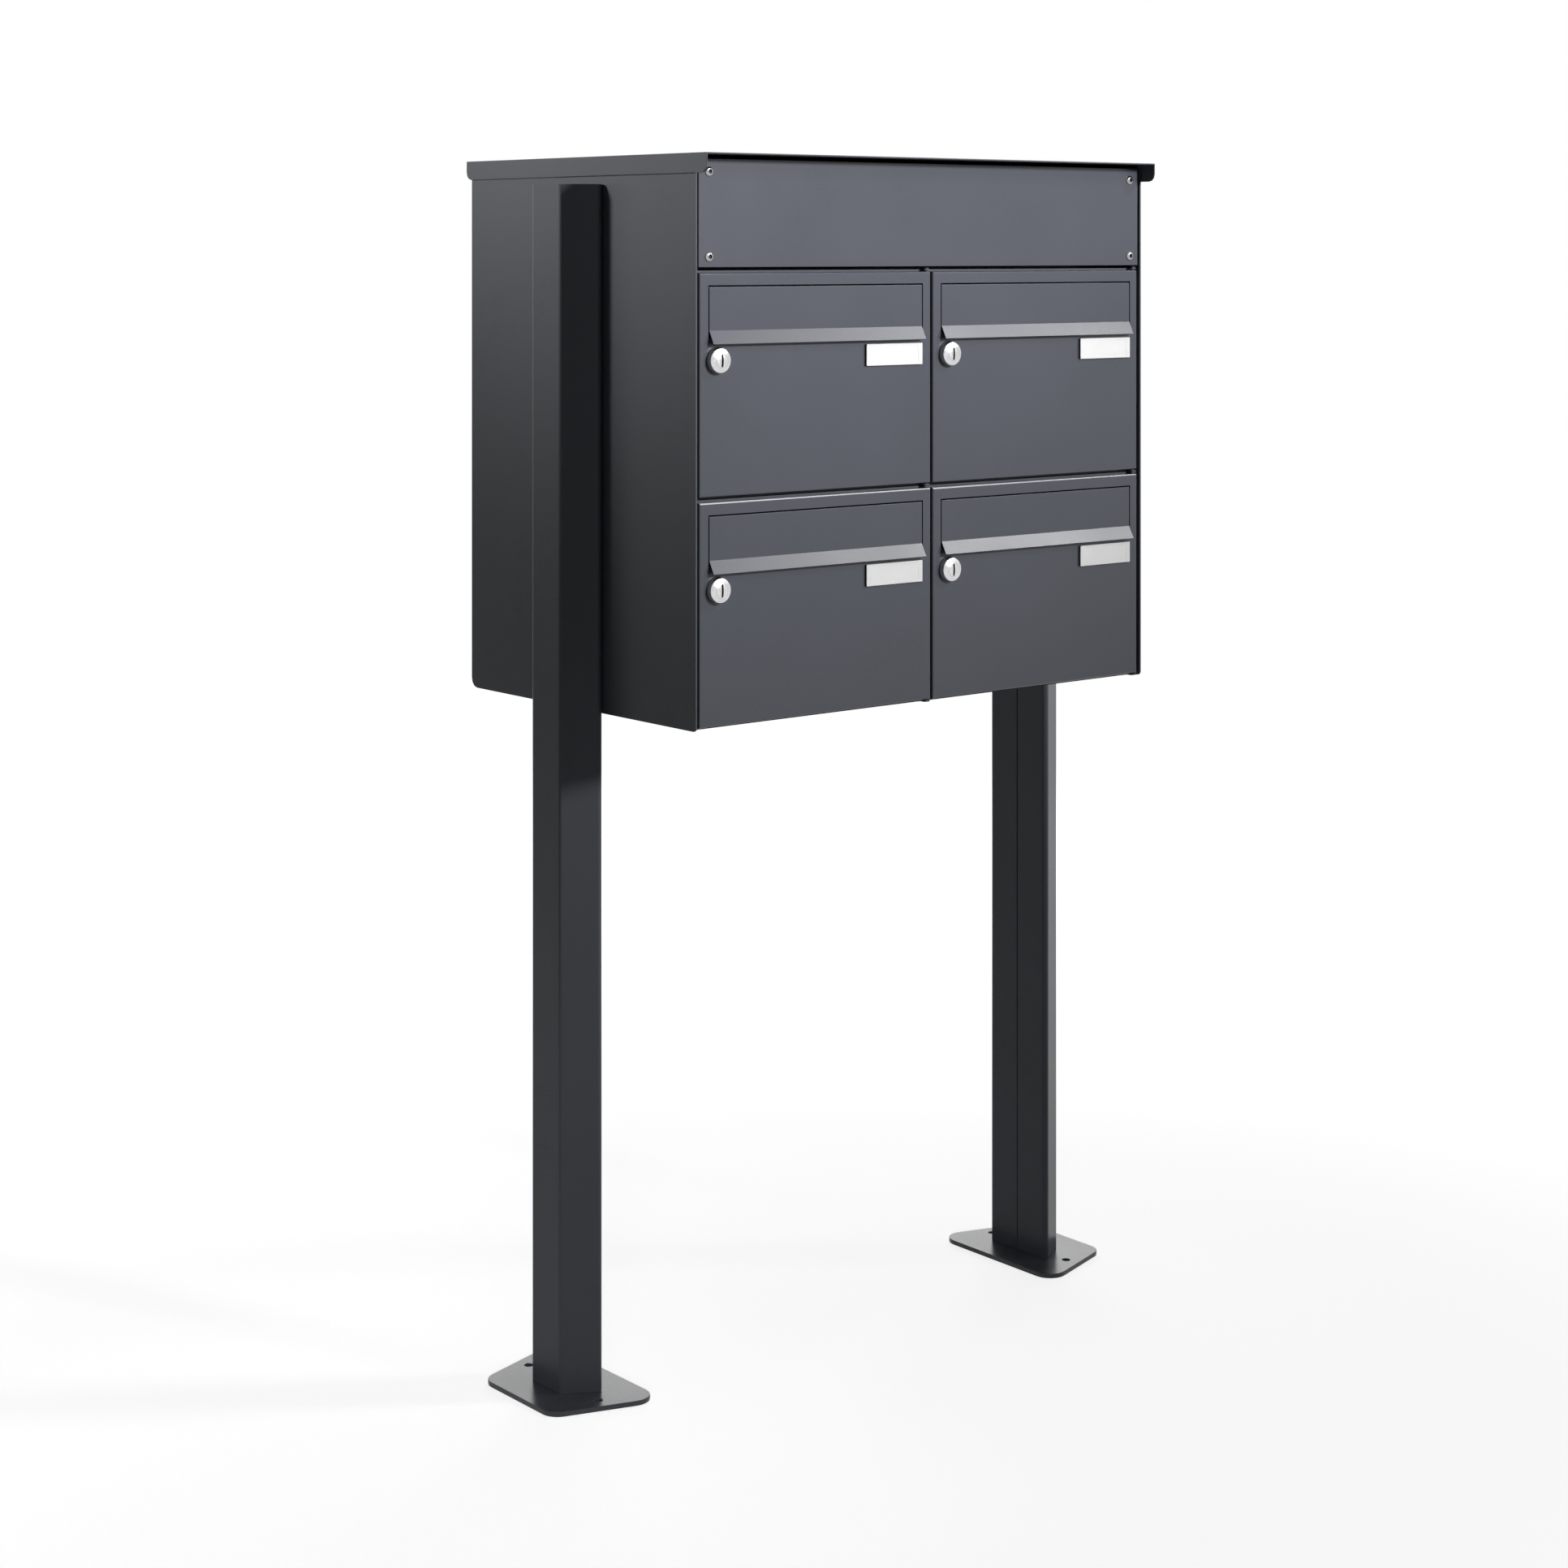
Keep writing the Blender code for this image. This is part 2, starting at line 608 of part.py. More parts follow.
def side_panel_mesh(side):
    """Shallow tray with a top and a back flange; side is -1 for left and 1 for right."""
    front, top, bottom = -SIDE_PROUD, SIDE_TOP, SIDE_BOTTOM
    corners = [(front, bottom), (CABINET_BACK, bottom), (CABINET_BACK, top), (front, top)]
    outline = rounded(corners, (SIDE_FRONT_R, SIDE_BACK_R, 0, 0))
    inner, outer = FLANGE_X * side, OUTER_HALF * side
    tray = prism(outline, "X", min(inner, outer), max(inner, outer))
    flange_foot = bottom + SIDE_BACK_R
    hollow = [
        (front - OVERCUT, bottom - OVERCUT),
        (CABINET_BACK + OVERCUT, bottom - OVERCUT),
        (CABINET_BACK + OVERCUT, flange_foot),
        (CABINET_BACK - SIDE_T, flange_foot),
        (CABINET_BACK - SIDE_T, top - SIDE_T),
        (front - OVERCUT, top - SIDE_T),
    ]
    mouth, skin = (FLANGE_X - OVERCUT) * side, (OUTER_HALF - SIDE_T) * side
    tray = cut(tray, prism(hollow, "X", min(mouth, skin), max(mouth, skin)))
    holes = [
        rod("X", POST_Y, z, BOLT_R + FIT_GAP, min(mouth, outer) - OVERCUT, max(mouth, outer) + OVERCUT)
        for z in ROW_Z
    ]
    return cut(tray, *holes)


def back_panel_mesh():
    middle = CABINET_BACK - BACK_T / 2
    top = SIDE_TOP - BACK_T / 2
    path = [(middle, SIDE_BOTTOM + SIDE_BACK_R), (middle, top), (middle - BACK_FLANGE, top)]
    half = FLANGE_X - FIT_GAP
    return prism(folded(path, BACK_T), "X", -half, half)


def roof_mesh():
    corners = [
        (-ROOF_FRONT, ROOF_LOW),
        (ROOF_REAR, ROOF_LOW),
        (ROOF_REAR, ROOF_TOP),
        (-ROOF_FRONT, ROOF_TOP),
    ]
    outline = rounded(corners, (ROOF_LIP_R, ROOF_LIP_R, 0, 0))
    roof = prism(outline, "X", -ROOF_HALF, ROOF_HALF)
    lip_half = ROOF_HALF - ROOF_T
    hollow = block(
        (-lip_half, -ROOF_FRONT - OVERCUT, ROOF_LOW - OVERCUT), (lip_half, ROOF_REAR - ROOF_T, ROOF_UNDER)
    )
    return cut(roof, hollow)


def screw_places():
    across = HEADER_HALF - SCREW_INSET_X
    heights = (HEADER_Z + SCREW_RISE, HEADER_TOP - SCREW_DROP)
    return [(x, z) for z in heights for x in (-across, across)]


def screw_holes(depth):
    return [rod("Y", x, z, SCREW_R + FIT_GAP, -OVERCUT, depth + OVERCUT) for x, z in screw_places()]


def header_plate_mesh():
    plate = block((-HEADER_HALF, 0, HEADER_Z), (HEADER_HALF, HEADER_T, HEADER_TOP))
    front = FIT_GAP
    plate = bevelled(plate, HEADER_EDGE_R, lambda a, b: a.y < front and b.y < front, steps=2)
    return cut(plate, *screw_holes(HEADER_T))


def header_frame_mesh():
    web = HEADER_T + FIT_GAP + FRAME_T / 2
    shelf = HEADER_Z + FRAME_INSET
    foot = STACK_TOP + FIT_GAP + FRAME_T / 2
    path = [
        (web, HEADER_TOP - FRAME_INSET),
        (web, shelf),
        (web + FRAME_D, shelf),
        (web + FRAME_D, foot),
        (web + FRAME_D + FRAME_FOOT, foot),
    ]
    half = HEADER_HALF - FRAME_INSET
    frame = prism(folded(path, FRAME_T), "X", -half, half)
    return cut(frame, *screw_holes(web + FRAME_T))


def header_screw_mesh(x, z):
    profile = [(0, -SCREW_HEAD_H)]
    for step in range(1, ARC_STEPS + 1):
        angle = math.pi / 2 * step / ARC_STEPS
        height = SCREW_HEAD_H - FIT_GAP
        profile.append((SCREW_HEAD_R * math.sin(angle), -FIT_GAP - height * math.cos(angle)))
    profile += [(SCREW_R, -FIT_GAP), (SCREW_R, SCREW_L), (0, SCREW_L)]
    screw = turned(profile, "Y", x, z)
    socket = rod("Y", x, z, SOCKET_R, -SCREW_HEAD_H - OVERCUT, -SCREW_HEAD_H + SOCKET_D, steps=6)
    return cut(screw, socket)


def post_section(side, wall=0.0):
    """Trapezoid section of a post, or of its hollow when a wall is given."""
    inner, outer = POST_X, POST_X + POST_D
    corners = [
        (inner, POST_Y - POST_IN_W / 2),
        (outer, POST_Y - POST_OUT_W / 2),
        (outer, POST_Y + POST_OUT_W / 2),
        (inner, POST_Y + POST_IN_W / 2),
    ]
    radius = max(POST_BEND_R - wall, 0)
    outline = rounded(inset(corners, wall), [radius] * len(corners))
    return [(x * side, y) for x, y in outline]


def post_mesh(side):
    """Folded channel with a seam down its inner face and a cap on top."""
    hollow_top = POST_TOP - POST_CAP_T
    post = prism(post_section(side), "Z", POST_FOOT, POST_TOP)
    hollow = prism(post_section(side, POST_WALL), "Z", POST_FOOT - OVERCUT, hollow_top)
    near, far = (POST_X - OVERCUT) * side, (POST_X + POST_WALL + OVERCUT) * side
    seam = block(
        (min(near, far), POST_Y - POST_SEAM / 2, POST_FOOT - OVERCUT),
        (max(near, far), POST_Y + POST_SEAM / 2, hollow_top),
    )
    holes = [rod("X", POST_Y, z, BOLT_R + FIT_GAP, min(near, far), max(near, far)) for z in ROW_Z]
    return cut(post, hollow, seam, *holes)


def base_plate_mesh(side):
    inner = BASE_X - BASE_D
    corners = [
        (inner, POST_Y - BASE_IN_W / 2),
        (BASE_X, POST_Y - BASE_OUT_W / 2),
        (BASE_X, POST_Y + BASE_OUT_W / 2),
        (inner, POST_Y + BASE_IN_W / 2),
    ]
    outline = rounded(corners, [BASE_R] * len(corners), steps=2 * ARC_STEPS)
    plate = prism([(x * side, y) for x, y in outline], "Z", 0, BASE_T)
    hole_x = (POST_X + BASE_HOLE_X) * side
    holes = [
        rod("Z", hole_x, POST_Y + offset, BASE_HOLE_R, -OVERCUT, BASE_T + OVERCUT)
        for offset in (-BASE_HOLE_PITCH / 2, BASE_HOLE_PITCH / 2)
    ]
    return cut(plate, *holes)


def post_bolt_mesh(side, z):
    seat = STACK_HALF - BOX_WALL - FIT_GAP
    profile = [
        (0, seat - BOLT_HEAD_H),
        (BOLT_CROWN_R, seat - BOLT_HEAD_H),
        (BOLT_HEAD_R, seat - BOLT_HEAD_H / 2),
        (BOLT_HEAD_R, seat),
        (BOLT_R, seat),
        (BOLT_R, POST_X + POST_WALL + BOLT_THREAD),
        (0, POST_X + POST_WALL + BOLT_THREAD),
    ]
    return turned([(radius, x * side) for radius, x in profile], "X", POST_Y, z)


# Assembly

def add_cabinet(coat, steel):
    """Everything that stands still."""
    here = Vector((0, DOOR_Y, 0))
    for column, side in zip(COLUMNS, (-1, 1)):
        add_piece(f"{column}_base_plate", base_plate_mesh(side), coat, here)
        add_piece(f"{column}_post", post_mesh(side), coat, here)
        add_piece(f"{column}_side_panel", side_panel_mesh(side), coat, here)
        for row, z in zip(ROWS, ROW_Z):
            add_piece(f"post_bolt_{row}_{column}", post_bolt_mesh(side, z), steel, here)
    add_piece("back_panel", back_panel_mesh(), coat, here)
    add_piece("roof_cover", roof_mesh(), coat, here)
    add_piece("header_plate", header_plate_mesh(), coat, here)
    add_piece("header_frame", header_frame_mesh(), coat, here)
    for n, (x, z) in enumerate(screw_places()):
        add_piece(f"header_screw_{ROWS[n // 2]}_{COLUMNS[n % 2]}", header_screw_mesh(x, z), steel, here)

    letterbox = letterbox_mesh()
    door_low, door_high = ROW_Z[0] - DOOR_H / 2, ROW_Z[1] + DOOR_H / 2
    bottom_pin = hinge_pin_mesh(ROW_Z[0] - BOX_H / 2, door_low + HINGE_PIN_REACH)
    middle_pin = hinge_pin_mesh(
        ROW_Z[0] + DOOR_H / 2 - HINGE_PIN_REACH, ROW_Z[1] - DOOR_H / 2 + HINGE_PIN_REACH
    )
    top_pin = hinge_pin_mesh(
        door_high - HINGE_PIN_REACH, STACK_TOP + FIT_GAP + HINGE_HEAD_T, headed=True
    )
    for column, x in zip(COLUMNS, COLUMN_X):
        for row, z in zip(ROWS, ROW_Z):
            add_piece(f"letterbox_{row}_{column}", letterbox, coat, (x, DOOR_Y, z))
        for level, pin in (("bottom", bottom_pin), ("middle", middle_pin), ("top", top_pin)):
            add_piece(f"hinge_pin_{level}_{column}", pin, steel, (x, DOOR_Y, 0))


def add_doors(coat, steel, chrome, clear, paper):
    """Doors with their flaps, locks and name plates, each group on its joint's axis."""
    door, flap, flap_pin = door_mesh(), flap_mesh(), flap_pin_mesh()
    lock_body, lock_plug, lock_cam = lock_body_mesh(), lock_plug_mesh(), lock_cam_mesh()
    name_cover, name_card = name_cover_mesh(), name_card_mesh()
    for column, x in zip(COLUMNS, COLUMN_X):
        for row, z in zip(ROWS, ROW_Z):
            here = Vector((x, DOOR_Y, z))
            tag = f"{row}_{column}"
            hinge = add_axis(f"axis_door_{tag}", here + Vector((HINGE_X, HINGE_Y, 0)))
            lift = add_axis(f"axis_flap_{tag}", here + Vector((0, FLAP_AXIS_Y, FLAP_AXIS_Z)), hinge)
            turn = add_axis(f"axis_lock_{tag}", here + Vector((LOCK_X, 0, LOCK_Z)), hinge)
            add_piece(f"door_{tag}", door, coat, here, hinge)
            add_piece(f"flap_pin_{tag}", flap_pin, steel, here, hinge)
            add_piece(f"lock_body_{tag}", lock_body, chrome, here, hinge)
            add_piece(f"name_cover_{tag}", name_cover, clear, here, hinge)
            add_piece(f"name_card_{tag}", name_card, paper, here, hinge)
            add_piece(f"letter_flap_{tag}", flap, coat, here, lift)
            add_piece(f"lock_plug_{tag}", lock_plug, chrome, here, turn)
            add_piece(f"lock_cam_{tag}", lock_cam, steel, here, turn)


def main():
    clear_scene()
    coat = finish_material("anthracite_coat", (0.100, 0.108, 0.122), 0.45, 0.0)
    steel = finish_material("zinc_steel", (0.55, 0.55, 0.56), 0.35, 1.0)
    chrome = finish_material("bright_chrome", (0.78, 0.78, 0.79), 0.15, 1.0)
    clear = finish_material("clear_cover", (0.95, 0.95, 0.95), 0.1, 0.0, alpha=0.3)
    paper = finish_material("white_card", (0.90, 0.90, 0.90), 0.7, 0.0)
    add_cabinet(coat, steel)
    add_doors(coat, steel, chrome, clear, paper)


main()
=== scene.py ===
"""Studio dressing for a cluster mailbox unit: coats, softened edges, locks, name plates and fasteners."""

import math

import bmesh
import bpy
from bpy.props import FloatProperty, FloatVectorProperty, PointerProperty
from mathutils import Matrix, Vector


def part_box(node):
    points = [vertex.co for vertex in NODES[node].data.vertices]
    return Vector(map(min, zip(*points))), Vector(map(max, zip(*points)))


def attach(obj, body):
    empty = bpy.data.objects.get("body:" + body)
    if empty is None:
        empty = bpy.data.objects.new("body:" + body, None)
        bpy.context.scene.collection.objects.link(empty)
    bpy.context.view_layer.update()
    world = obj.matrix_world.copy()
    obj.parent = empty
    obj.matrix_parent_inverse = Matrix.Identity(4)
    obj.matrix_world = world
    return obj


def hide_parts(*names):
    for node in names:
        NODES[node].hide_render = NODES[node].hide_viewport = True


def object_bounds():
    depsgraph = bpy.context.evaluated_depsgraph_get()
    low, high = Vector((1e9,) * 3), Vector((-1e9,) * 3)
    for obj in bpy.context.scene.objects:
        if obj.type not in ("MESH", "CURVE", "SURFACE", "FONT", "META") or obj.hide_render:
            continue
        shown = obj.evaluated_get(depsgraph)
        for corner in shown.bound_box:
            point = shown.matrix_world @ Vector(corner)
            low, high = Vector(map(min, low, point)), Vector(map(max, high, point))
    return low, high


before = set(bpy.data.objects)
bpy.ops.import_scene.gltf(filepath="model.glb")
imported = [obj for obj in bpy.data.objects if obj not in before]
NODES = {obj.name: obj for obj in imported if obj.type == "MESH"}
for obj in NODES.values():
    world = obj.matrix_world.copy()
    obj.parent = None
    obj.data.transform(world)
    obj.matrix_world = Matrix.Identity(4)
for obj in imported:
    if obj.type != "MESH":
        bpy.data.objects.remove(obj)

bl_info = {
    "name": "Cluster Mailbox Dressing",
    "version": (1, 0, 0),
    "blender": (4, 5, 0),
    "location": "View3D > Sidebar > Mailbox",
    "description": "Coats, softened edges, locks, name plates and fasteners of a cluster mailbox unit",
    "category": "Object",
}

CAD_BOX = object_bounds()
ROWS, COLUMNS = ("lower", "upper"), ("left", "right")
TAGS = [f"{row}_{column}" for column in COLUMNS for row in ROWS]


def middle(name):
    low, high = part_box(name)
    return (low + high) / 2


def door_face(tag):
    """Where a door's front face lies along Y."""
    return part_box(f"door_{tag}")[0].y


# Settings

def length(name, description, default):
    return FloatProperty(
        name=name, description=description, default=default, min=0.0, unit="LENGTH", precision=5
    )


def share(name, description, default):
    return FloatProperty(
        name=name, description=description, default=default, min=0.0, max=1.0, subtype="FACTOR"
    )


def power(name, description, default):
    return FloatProperty(name=name, description=description, default=default, min=0.0, unit="POWER")


def colour(name, description, default):
    return FloatVectorProperty(
        name=name, description=description, default=default, size=3, min=0.0, max=1.0, subtype="COLOR"
    )


class FinishSettings(bpy.types.PropertyGroup):
    """Colours and gloss of the unit's finishes."""

    coat: colour("Coat", "Powder coat on cladding, posts and base plates", (0.118, 0.127, 0.145))
    door_coat: colour("Door coat", "Glossier coat on doors, flaps and header plate", (0.075, 0.082, 0.102))
    # Pale colour on the lower doors' upper folds: a painted highlight
    rubbed: colour("Painted fold highlight", "Upper folds of the lower doors, painted pale as a highlight", (0.72, 0.73, 0.75))
    coat_roughness: share("Coat roughness", "Satin gloss of the coats", 0.28)
    plate_roughness: share("Base plate roughness", "Gloss of the base plates' coat", 0.26)
    chrome: colour("Chrome", "Plated lock fronts", (0.62, 0.62, 0.63))
    # Darker metal on the lock caps' walls: painted shade
    nickel: colour("Nickel", "Satin walls of the lock caps", (0.33, 0.33, 0.335))
    zinc: colour("Zinc", "Screws, bolts, nuts and cams", (0.40, 0.40, 0.41))
    # Also painted shade: black on the faces of the screw sockets and key slots
    pin: colour("Pin", "Blackened flap pins, screw sockets and key slots", (0.02, 0.02, 0.021))
    card: colour("Card", "White name cards", (0.97, 0.97, 0.965))
    tray: colour("Tray", "Dark plastic under name plates and locks", (0.012, 0.012, 0.013))


class EdgeSettings(bpy.types.PropertyGroup):
    """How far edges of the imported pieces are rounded."""

    sheet: length("Sheet edges", "Rounding of cut sheet edges and of the flaps' bends", 0.0003)
    fold: length("Folds", "Rounding of the roof's folds", 0.0008)
    plate: length("Plate edges", "Rounding of the base plates' edges", 0.0006)
    fine: length("Fine edges", "Rounding of the header plate, pins and cams", 0.00015)


class LockSettings(bpy.types.PropertyGroup):
    """Front of the cam locks."""

    dome_radius: length("Dome radius", "Sphere that the lock's face follows", 0.028)
    face_radius: length("Face radius", "Face up to its rounded edge", 0.0108)
    edge_radius: length("Edge radius", "Rounding from the face to the wall", 0.0014)
    wall_radius: length("Wall radius", "Cap's wall at its foot", 0.0128)
    proud: length("Proud", "Face in front of the door", 0.0088)
    ring_height: length("Ring height", "Dark ring under the cap", 0.0011)
    slot_width: length("Slot width", "Key slot", 0.0016)
    slot_height: length("Slot height", "Key slot", 0.0122)


class NamePlateSettings(bpy.types.PropertyGroup):
    """Layers of the name plates."""

    corner: length("Corner", "Corner radius of the plates", 0.0008)
    side_border: length("Side border", "White border left and right of the field", 0.0055)
    edge_border: length("Edge border", "White border above and below the field", 0.0025)
    recess: length("Recess", "Depth of the field", 0.0002)


class StudioSettings(bpy.types.PropertyGroup):
    """Backdrop, floor and light."""

    backdrop: colour("Backdrop", "Background that camera and reflections see", (1.0, 1.0, 1.0))
    floor: colour("Floor", "Pale floor", (0.88, 0.88, 0.88))
    key_softbox: power("Key", "Softbox at the right", 1.0)
    rim_softbox: power("Rim", "Softbox behind the unit", 19.0)
    ceiling_softbox: power("Ceiling", "Softbox overhead", 15.0)
    door_light: power("Door light", "Spot on the doors", 950.0)
    panel_light: power("Panel light", "Spot at the left", 640.0)
    post_light: power("Post light", "Spot on the left post", 70.0)


# Finishes

CLADDING_INDEX, DOOR_INDEX, PLATE_INDEX = 1.2, 1.45, 1.3  # refractive indices of the coats
CLEAR = (0.95, 0.95, 0.95)
NOISE_LOW, NOISE_HIGH = 0.3, 0.7  # nearly all of a noise texture's values lie between these
FOLD_ENDS = (0.1, 0.97)  # how far a face looks up where the painted highlight begins and ends
FOLD_FULL = (0.25, 0.88)  # and between which it is full
# Colour sockets of a mix node, by number because other sockets have the same names
MIX_FACTOR, MIX_FIRST, MIX_SECOND, MIX_RESULT = 0, 6, 7, 2


def node(tree, kind, sockets=None, **settings):
    """Adds a node and sets its sockets, each to a value or from another node's output."""
    made = tree.nodes.new(kind)
    for name, value in settings.items():
        setattr(made, name, value)
    for name, value in (sockets or {}).items():
        if isinstance(value, bpy.types.NodeSocket):
            tree.links.new(value, made.inputs[name])
        else:
            made.inputs[name].default_value = value
    return made


def new_finish(name):
    """A new material, its nodes, its shader and the output that gives the place on a piece."""
    material = bpy.data.materials.new(name)
    material.use_nodes = True
    tree = material.node_tree
    place = node(tree, "ShaderNodeTexCoord").outputs["Object"]
    return material, tree, tree.nodes["Principled BSDF"], place


def join(tree, shader, outputs):
    for socket, output in outputs.items():
        tree.links.new(output, shader.inputs[socket])


def noise(tree, place, scale, detail):
    sockets = {"Vector": place, "Scale": scale, "Detail": detail}
    return node(tree, "ShaderNodeTexNoise", sockets).outputs["Fac"]


def tone(tree, factor, base, spread):
    """Base colour that varies by a share up and down with a noise."""
    ramp = node(tree, "ShaderNodeValToRGB", {"Fac": factor})
    changes = ((NOISE_LOW, 1 - spread), (NOISE_HIGH, 1 + spread))
    for stop, (place, change) in zip(ramp.color_ramp.elements, changes):
        stop.position = place
        stop.color = (*(channel * change for channel in base), 1.0)
    return ramp.outputs["Color"]


def span(tree, value, low, high):
    """A noise stretched to go from low to high."""
    limits = {"From Min": NOISE_LOW, "From Max": NOISE_HIGH, "To Min": low, "To Max": high}
    return node(tree, "ShaderNodeMapRange", {"Value": value, **limits}).outputs["Result"]


def relief(tree, height, distance, strength, normal=None):
    sockets = {"Height": height, "Distance": distance, "Strength": strength}
    if normal is not None:
        sockets["Normal"] = normal
    return node(tree, "ShaderNodeBump", sockets).outputs["Normal"]


def upper_folds(tree):
    """1 on folds that lean back between upright and level, 0 on upright and level faces."""
    normal = node(tree, "ShaderNodeNewGeometry").outputs["Normal"]
    up = node(tree, "ShaderNodeSeparateXYZ", {"Vector": normal}).outputs["Z"]
    ramp = node(tree, "ShaderNodeValToRGB", {"Fac": up})
    stops = ramp.color_ramp.elements
    for place in FOLD_FULL:
        stops.new(place).color = (1.0, 1.0, 1.0, 1.0)
    stops[0].position, stops[-1].position = FOLD_ENDS
    stops[-1].color = (0.0, 0.0, 0.0, 1.0)
    return ramp.outputs["Color"]


def powder_coat(name, base, roughness, index, rubbed=None):
    """Satin powder coat with faint clouds, fine grain, orange peel and, where asked, a painted highlight on
    the upper folds.
    """
    material, tree, shader, place = new_finish(name)
    cloud = noise(tree, place, scale=7.0, detail=3.0)
    grain = noise(tree, place, scale=2300.0, detail=1.0)
    peel = noise(tree, place, scale=520.0, detail=2.0)
    sockets = {"Factor": 0.35, "A": cloud, "B": grain}
    mottle = node(tree, "ShaderNodeMix", sockets, data_type="FLOAT").outputs["Result"]
    coat = tone(tree, mottle, base, spread=0.045)
    # Folds that face up take a pale tone: a painted highlight
    if rubbed is not None:
        painted_highlight_tone = tone(tree, cloud, rubbed, spread=0.10)
        sockets = {MIX_FACTOR: upper_folds(tree), MIX_FIRST: coat, MIX_SECOND: painted_highlight_tone}
        coat = node(tree, "ShaderNodeMix", sockets, data_type="RGBA").outputs[MIX_RESULT]
    orange_peel = relief(tree, peel, distance=0.00006, strength=0.20)
    join(tree, shader, {
        "Base Color": coat,
        "Roughness": span(tree, mottle, low=roughness - 0.03, high=roughness + 0.05),
        "Normal": relief(tree, grain, distance=0.00002, strength=0.25, normal=orange_peel),
    })
    shader.inputs["IOR"].default_value = index
    return material


def metal(name, base, roughness, spacing):
    """Plated metal with fine turned rings about the piece's own axis."""
    material, tree, shader, place = new_finish(name)
    # The rings of a wave texture lie pi / (10 * scale) apart
    sockets = {"Vector": place, "Scale": math.pi / (10 * spacing), "Distortion": 2.0, "Detail": 2.0}
    wave = node(tree, "ShaderNodeTexWave", sockets, wave_type="RINGS", rings_direction="Y")
    smear = noise(tree, place, scale=260.0, detail=3.0)
    join(tree, shader, {
        "Base Color": tone(tree, smear, base, spread=0.04),
        "Roughness": span(tree, smear, low=roughness * 0.7, high=roughness * 1.3),
        "Normal": relief(tree, wave.outputs["Fac"], distance=0.000004, strength=0.2),
    })
    shader.inputs["Metallic"].default_value = 1.0
    return material


def card_stock(name, base):
    material, tree, shader, place = new_finish(name)
    cloud = noise(tree, place, scale=90.0, detail=2.0)
    fibres = noise(tree, place, scale=1400.0, detail=3.0)
    join(tree, shader, {
        "Base Color": tone(tree, cloud, base, spread=0.015),
        "Roughness": span(tree, fibres, low=0.55, high=0.70),
        "Normal": relief(tree, fibres, distance=0.00002, strength=0.2),
    })
    return material


def moulded_plastic(name, base, roughness, alpha=1.0):
    material, tree, shader, place = new_finish(name)
    cloud = noise(tree, place, scale=120.0, detail=2.0)
    grain = noise(tree, place, scale=1800.0, detail=2.0)
    join(tree, shader, {
        "Base Color": tone(tree, cloud, base, spread=0.05),
        "Roughness": span(tree, grain, low=roughness * 0.85, high=roughness * 1.15),
        "Normal": relief(tree, grain, distance=0.00001, strength=0.15),
    })
    shader.inputs["Alpha"].default_value = alpha
    return material


def finish(context, name):
    """The named finish, made when it is first asked for."""
    if name in bpy.data.materials:
        return bpy.data.materials[name]
    look = context.scene.mailbox_finish
    cladding = {"roughness": look.coat_roughness, "index": CLADDING_INDEX}
    door = {"roughness": look.coat_roughness, "index": DOOR_INDEX}
    base_plate = {"roughness": look.plate_roughness, "index": PLATE_INDEX}
    make, base, details = {
        "satin_anthracite_coat": (powder_coat, look.coat, cladding),
        "door_anthracite_coat": (powder_coat, look.door_coat, door),
        # Door coat with a painted highlight on its upper folds
        "rubbed_anthracite_coat": (powder_coat, look.door_coat, {**door, "rubbed": look.rubbed}),
        "glossy_anthracite_coat": (powder_coat, look.coat, base_plate),
        "lock_chrome": (metal, look.chrome, {"roughness": 0.24, "spacing": 0.00025}),
        "satin_nickel": (metal, look.nickel, {"roughness": 0.34, "spacing": 0.0003}),
        "bright_zinc": (metal, look.zinc, {"roughness": 0.24, "spacing": 0.0004}),
        "blackened_steel": (metal, look.pin, {"roughness": 0.42, "spacing": 0.0004}),
        "name_card_stock": (card_stock, look.card, {}),
        "clear_pane": (moulded_plastic, CLEAR, {"roughness": 0.06, "alpha": 0.12}),
        "dark_plastic": (moulded_plastic, look.tray, {"roughness": 0.45}),
    }[name]
    return make(name, base, **details)


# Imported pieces

WELD_GAP = 0.00001
FLAT_ANGLE = 0.4  # degrees; faces that meet flatter than this are merged
EDGE_ANGLE = 50.0  # degrees; sharper edges are rounded
FLAP_EDGE_ANGLE = 20.0  # the same on the flaps, whose bends are shallow
SHADING_ANGLE = 46.0  # degrees; sharper edges stay sharp in the shading
FACE_WEIGHT = 100  # how much large faces count when normals are evened


def shading_tree():
    """Node tree that shades a mesh smooth and keeps its edges sharp past a fixed angle."""
    name = "smooth_sheet_shading"
    if name in bpy.data.node_groups:
        return bpy.data.node_groups[name]
    tree = bpy.data.node_groups.new(name, "GeometryNodeTree")
    for direction in ("INPUT", "OUTPUT"):
        tree.interface.new_socket(name="Geometry", in_out=direction, socket_type="NodeSocketGeometry")
    start = node(tree, "NodeGroupInput").outputs["Geometry"]
    angle = node(tree, "GeometryNodeInputMeshEdgeAngle").outputs["Unsigned Angle"]
    sockets = {0: angle, 1: math.radians(SHADING_ANGLE)}
    soft = node(tree, "FunctionNodeCompare", sockets, data_type="FLOAT", operation="LESS_THAN")
    sockets = {"Geometry": start, "Shade Smooth": True}
    faces = node(tree, "GeometryNodeSetShadeSmooth", sockets, domain="FACE")
    sockets = {"Geometry": faces.outputs["Geometry"], "Shade Smooth": soft.outputs["Result"]}
    edges = node(tree, "GeometryNodeSetShadeSmooth", sockets, domain="EDGE")
    node(tree, "NodeGroupOutput", {"Geometry": edges.outputs["Geometry"]})
    return tree


